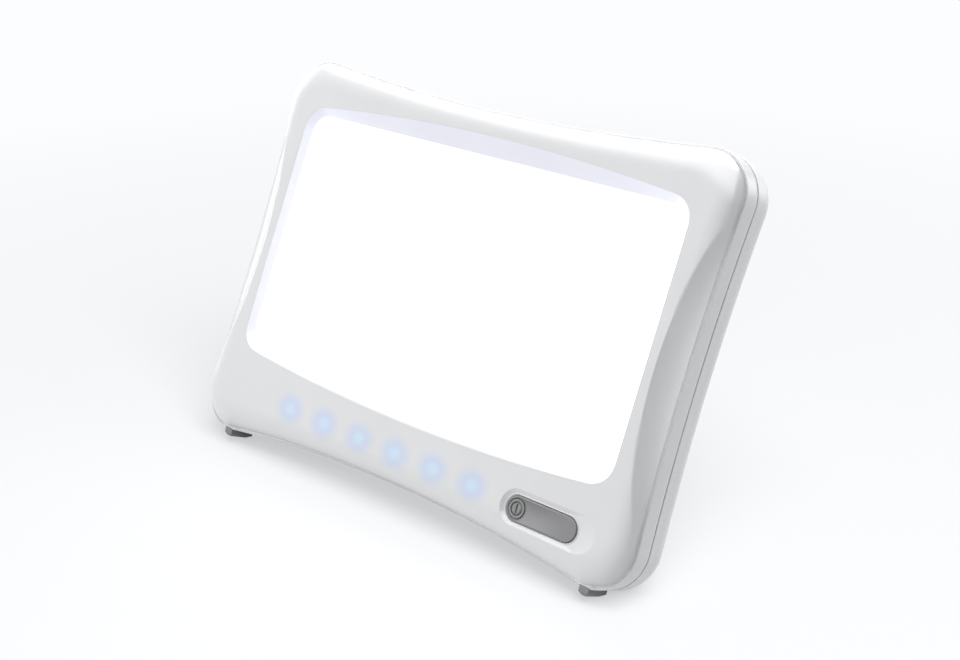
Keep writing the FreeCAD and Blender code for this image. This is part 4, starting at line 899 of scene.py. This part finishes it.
capPiece = buttonCap()
low = cap["top"] - cap["moatDepth"]
high = cap["top"] + cap["rise"]
inside = cap["ring"] - cap["line"]
moats = (
    (cap["ring"] + cap["moat"], cap["ring"] - cap["overlap"]),
    (inside + cap["overlap"], inside - cap["moat"]),
)
for outer, inner in moats:
    profile = [(outer, low), (outer, cap["clear"]), (inner, cap["clear"]), (inner, low)]
    carve(capPiece, turnedRing("moatCutter", profile, cap["symbol"], cap["ringSteps"], []))
symbolX, symbolY = cap["symbol"]
barHalf, barReach = cap["bar"][0] / 2, cap["bar"][1] / 2
barLow = (symbolX - barHalf, symbolY - barReach, low)
barHigh = (symbolX + barHalf, symbolY + barReach, cap["clear"])
carve(capPiece, boxCutter("barCutter", barLow, barHigh, cap["barEase"]))
settleOn(capPiece, "button", "grey_button", "power_button")
profile = symbolProfile(cap["ring"], inside, low, high)
ringPiece = turnedRing("symbolRing", profile, cap["symbol"], cap["ringSteps"], [capGrey])
settleOn(ringPiece, "button", "grey_button", "power_button")
print("button done")

# Materials of the CAD nodes that stay
opal = {
    "finish": ((0.92, 0.93, 0.95), 0.01, (0.35, 0.5), 1200.0, 0.05),
    "glow": 1.7,
    "glowColour": (0.99, 0.995, 1.0),
}
boards = {
    "stagger": 0.37,
    "gap": 0.04,  # between the tracks
    "shades": (0.0, 0.25),  # how much of the copper's colour the tracks show
    "roughness": (0.3, 0.45),
    "grain": 900.0,
    "strength": 0.2,
    "height": 0.0001,
}


def boardMaterial(name, mask, copper, pitch):
    # solder mask over faint tracks that run along the board
    material, tree, shader = nodeTree(name)
    place = addNode(tree, "ShaderNodeTexCoord")
    tracks = addNode(tree, "ShaderNodeTexBrick", Scale=pitch, offset=boards["stagger"])
    tracks.inputs["Mortar Size"].default_value = boards["gap"]
    for socket, shade in zip(("Color1", "Color2", "Mortar"), (*boards["shades"], 1.0)):
        tracks.inputs[socket].default_value = (shade, shade, shade, 1)
    tree.links.new(place.outputs["Object"], tracks.inputs["Vector"])
    tree.links.new(blendColour(tree, tracks.outputs["Color"], mask, copper), shader.inputs["Base Color"])
    rough = remap(tree, noise(tree, boards["grain"]), *boards["roughness"])
    tree.links.new(rough, shader.inputs["Roughness"])
    bumpFrom(tree, shader, tracks.outputs["Color"], boards["strength"], boards["height"])
    return material


innerFinishes = {
    # CAD node: material, colour, colour drift, roughness, grain, its strength, metallic
    "diffuser_gasket": ("foamBlack", (0.03, 0.03, 0.032), 0.2, (0.8, 0.95), 1500.0, 0.6, 0.0),
    "reflector_tray": ("trayWhite", (0.88, 0.88, 0.88), 0.01, (0.2, 0.3), 700.0, 0.08, 0.0),
    "light_leds": ("emitterCream", (0.86, 0.80, 0.52), 0.06, (0.3, 0.45), 2500.0, 0.2, 0.0),
    "heat_spreader": ("aluminium", (0.78, 0.79, 0.80), 0.04, (0.28, 0.42), 600.0, 0.1, 1.0),
    "indicator_light_guide": ("guideClear", (0.80, 0.84, 0.88), 0.02, (0.08, 0.14), 900.0, 0.05, 0.0),
    "indicator_leds": ("lensBlue", (0.12, 0.28, 0.80), 0.05, (0.12, 0.2), 1200.0, 0.1, 0.0),
    "driver_capacitor": ("canAluminium", (0.70, 0.71, 0.72), 0.05, (0.25, 0.4), 800.0, 0.1, 1.0),
    "dc_jack_pin": ("brass", (0.72, 0.56, 0.26), 0.05, (0.2, 0.34), 900.0, 0.1, 1.0),
    "light_lead_return": ("leadBlack", (0.02, 0.02, 0.022), 0.1, (0.35, 0.5), 1200.0, 0.1, 0.0),
    "light_lead_supply": ("leadRed", (0.45, 0.03, 0.03), 0.08, (0.35, 0.5), 1200.0, 0.1, 0.0),
}
finishes = {node: grainedFinish(*values) for node, values in innerFinishes.items()}
finishes["diffuser_panel"] = grainedFinish("opalDiffuser", *opal["finish"])
addGlow(finishes["diffuser_panel"], opal["glowColour"], opal["glow"])
finishes["led_board"] = boardMaterial("boardWhite", (0.82, 0.82, 0.80), (0.70, 0.70, 0.66), 60.0)
finishes["control_board"] = boardMaterial("boardGreen", (0.02, 0.16, 0.06), (0.05, 0.26, 0.10), 160.0)
nylon = grainedFinish("nylonWhite", (0.80, 0.79, 0.75), 0.03, (0.3, 0.45), 1400.0, 0.12)
for node in ("board_header", "led_connector", "hinge_washers"):
    finishes[node] = nylon
for node in ("hinge_pin", "spreader_screws", "board_screws"):
    finishes[node] = caseMaterials["steelGrey"]
for node in ("switch_body", "switch_plunger", "driver_coil", "control_chip"):
    finishes[node] = caseMaterials["inletBlack"]
for node, material in finishes.items():
    mesh = nodes[node].data
    mesh.materials.clear()
    mesh.materials.append(material)
print("materials set on", len(finishes), "CAD nodes")
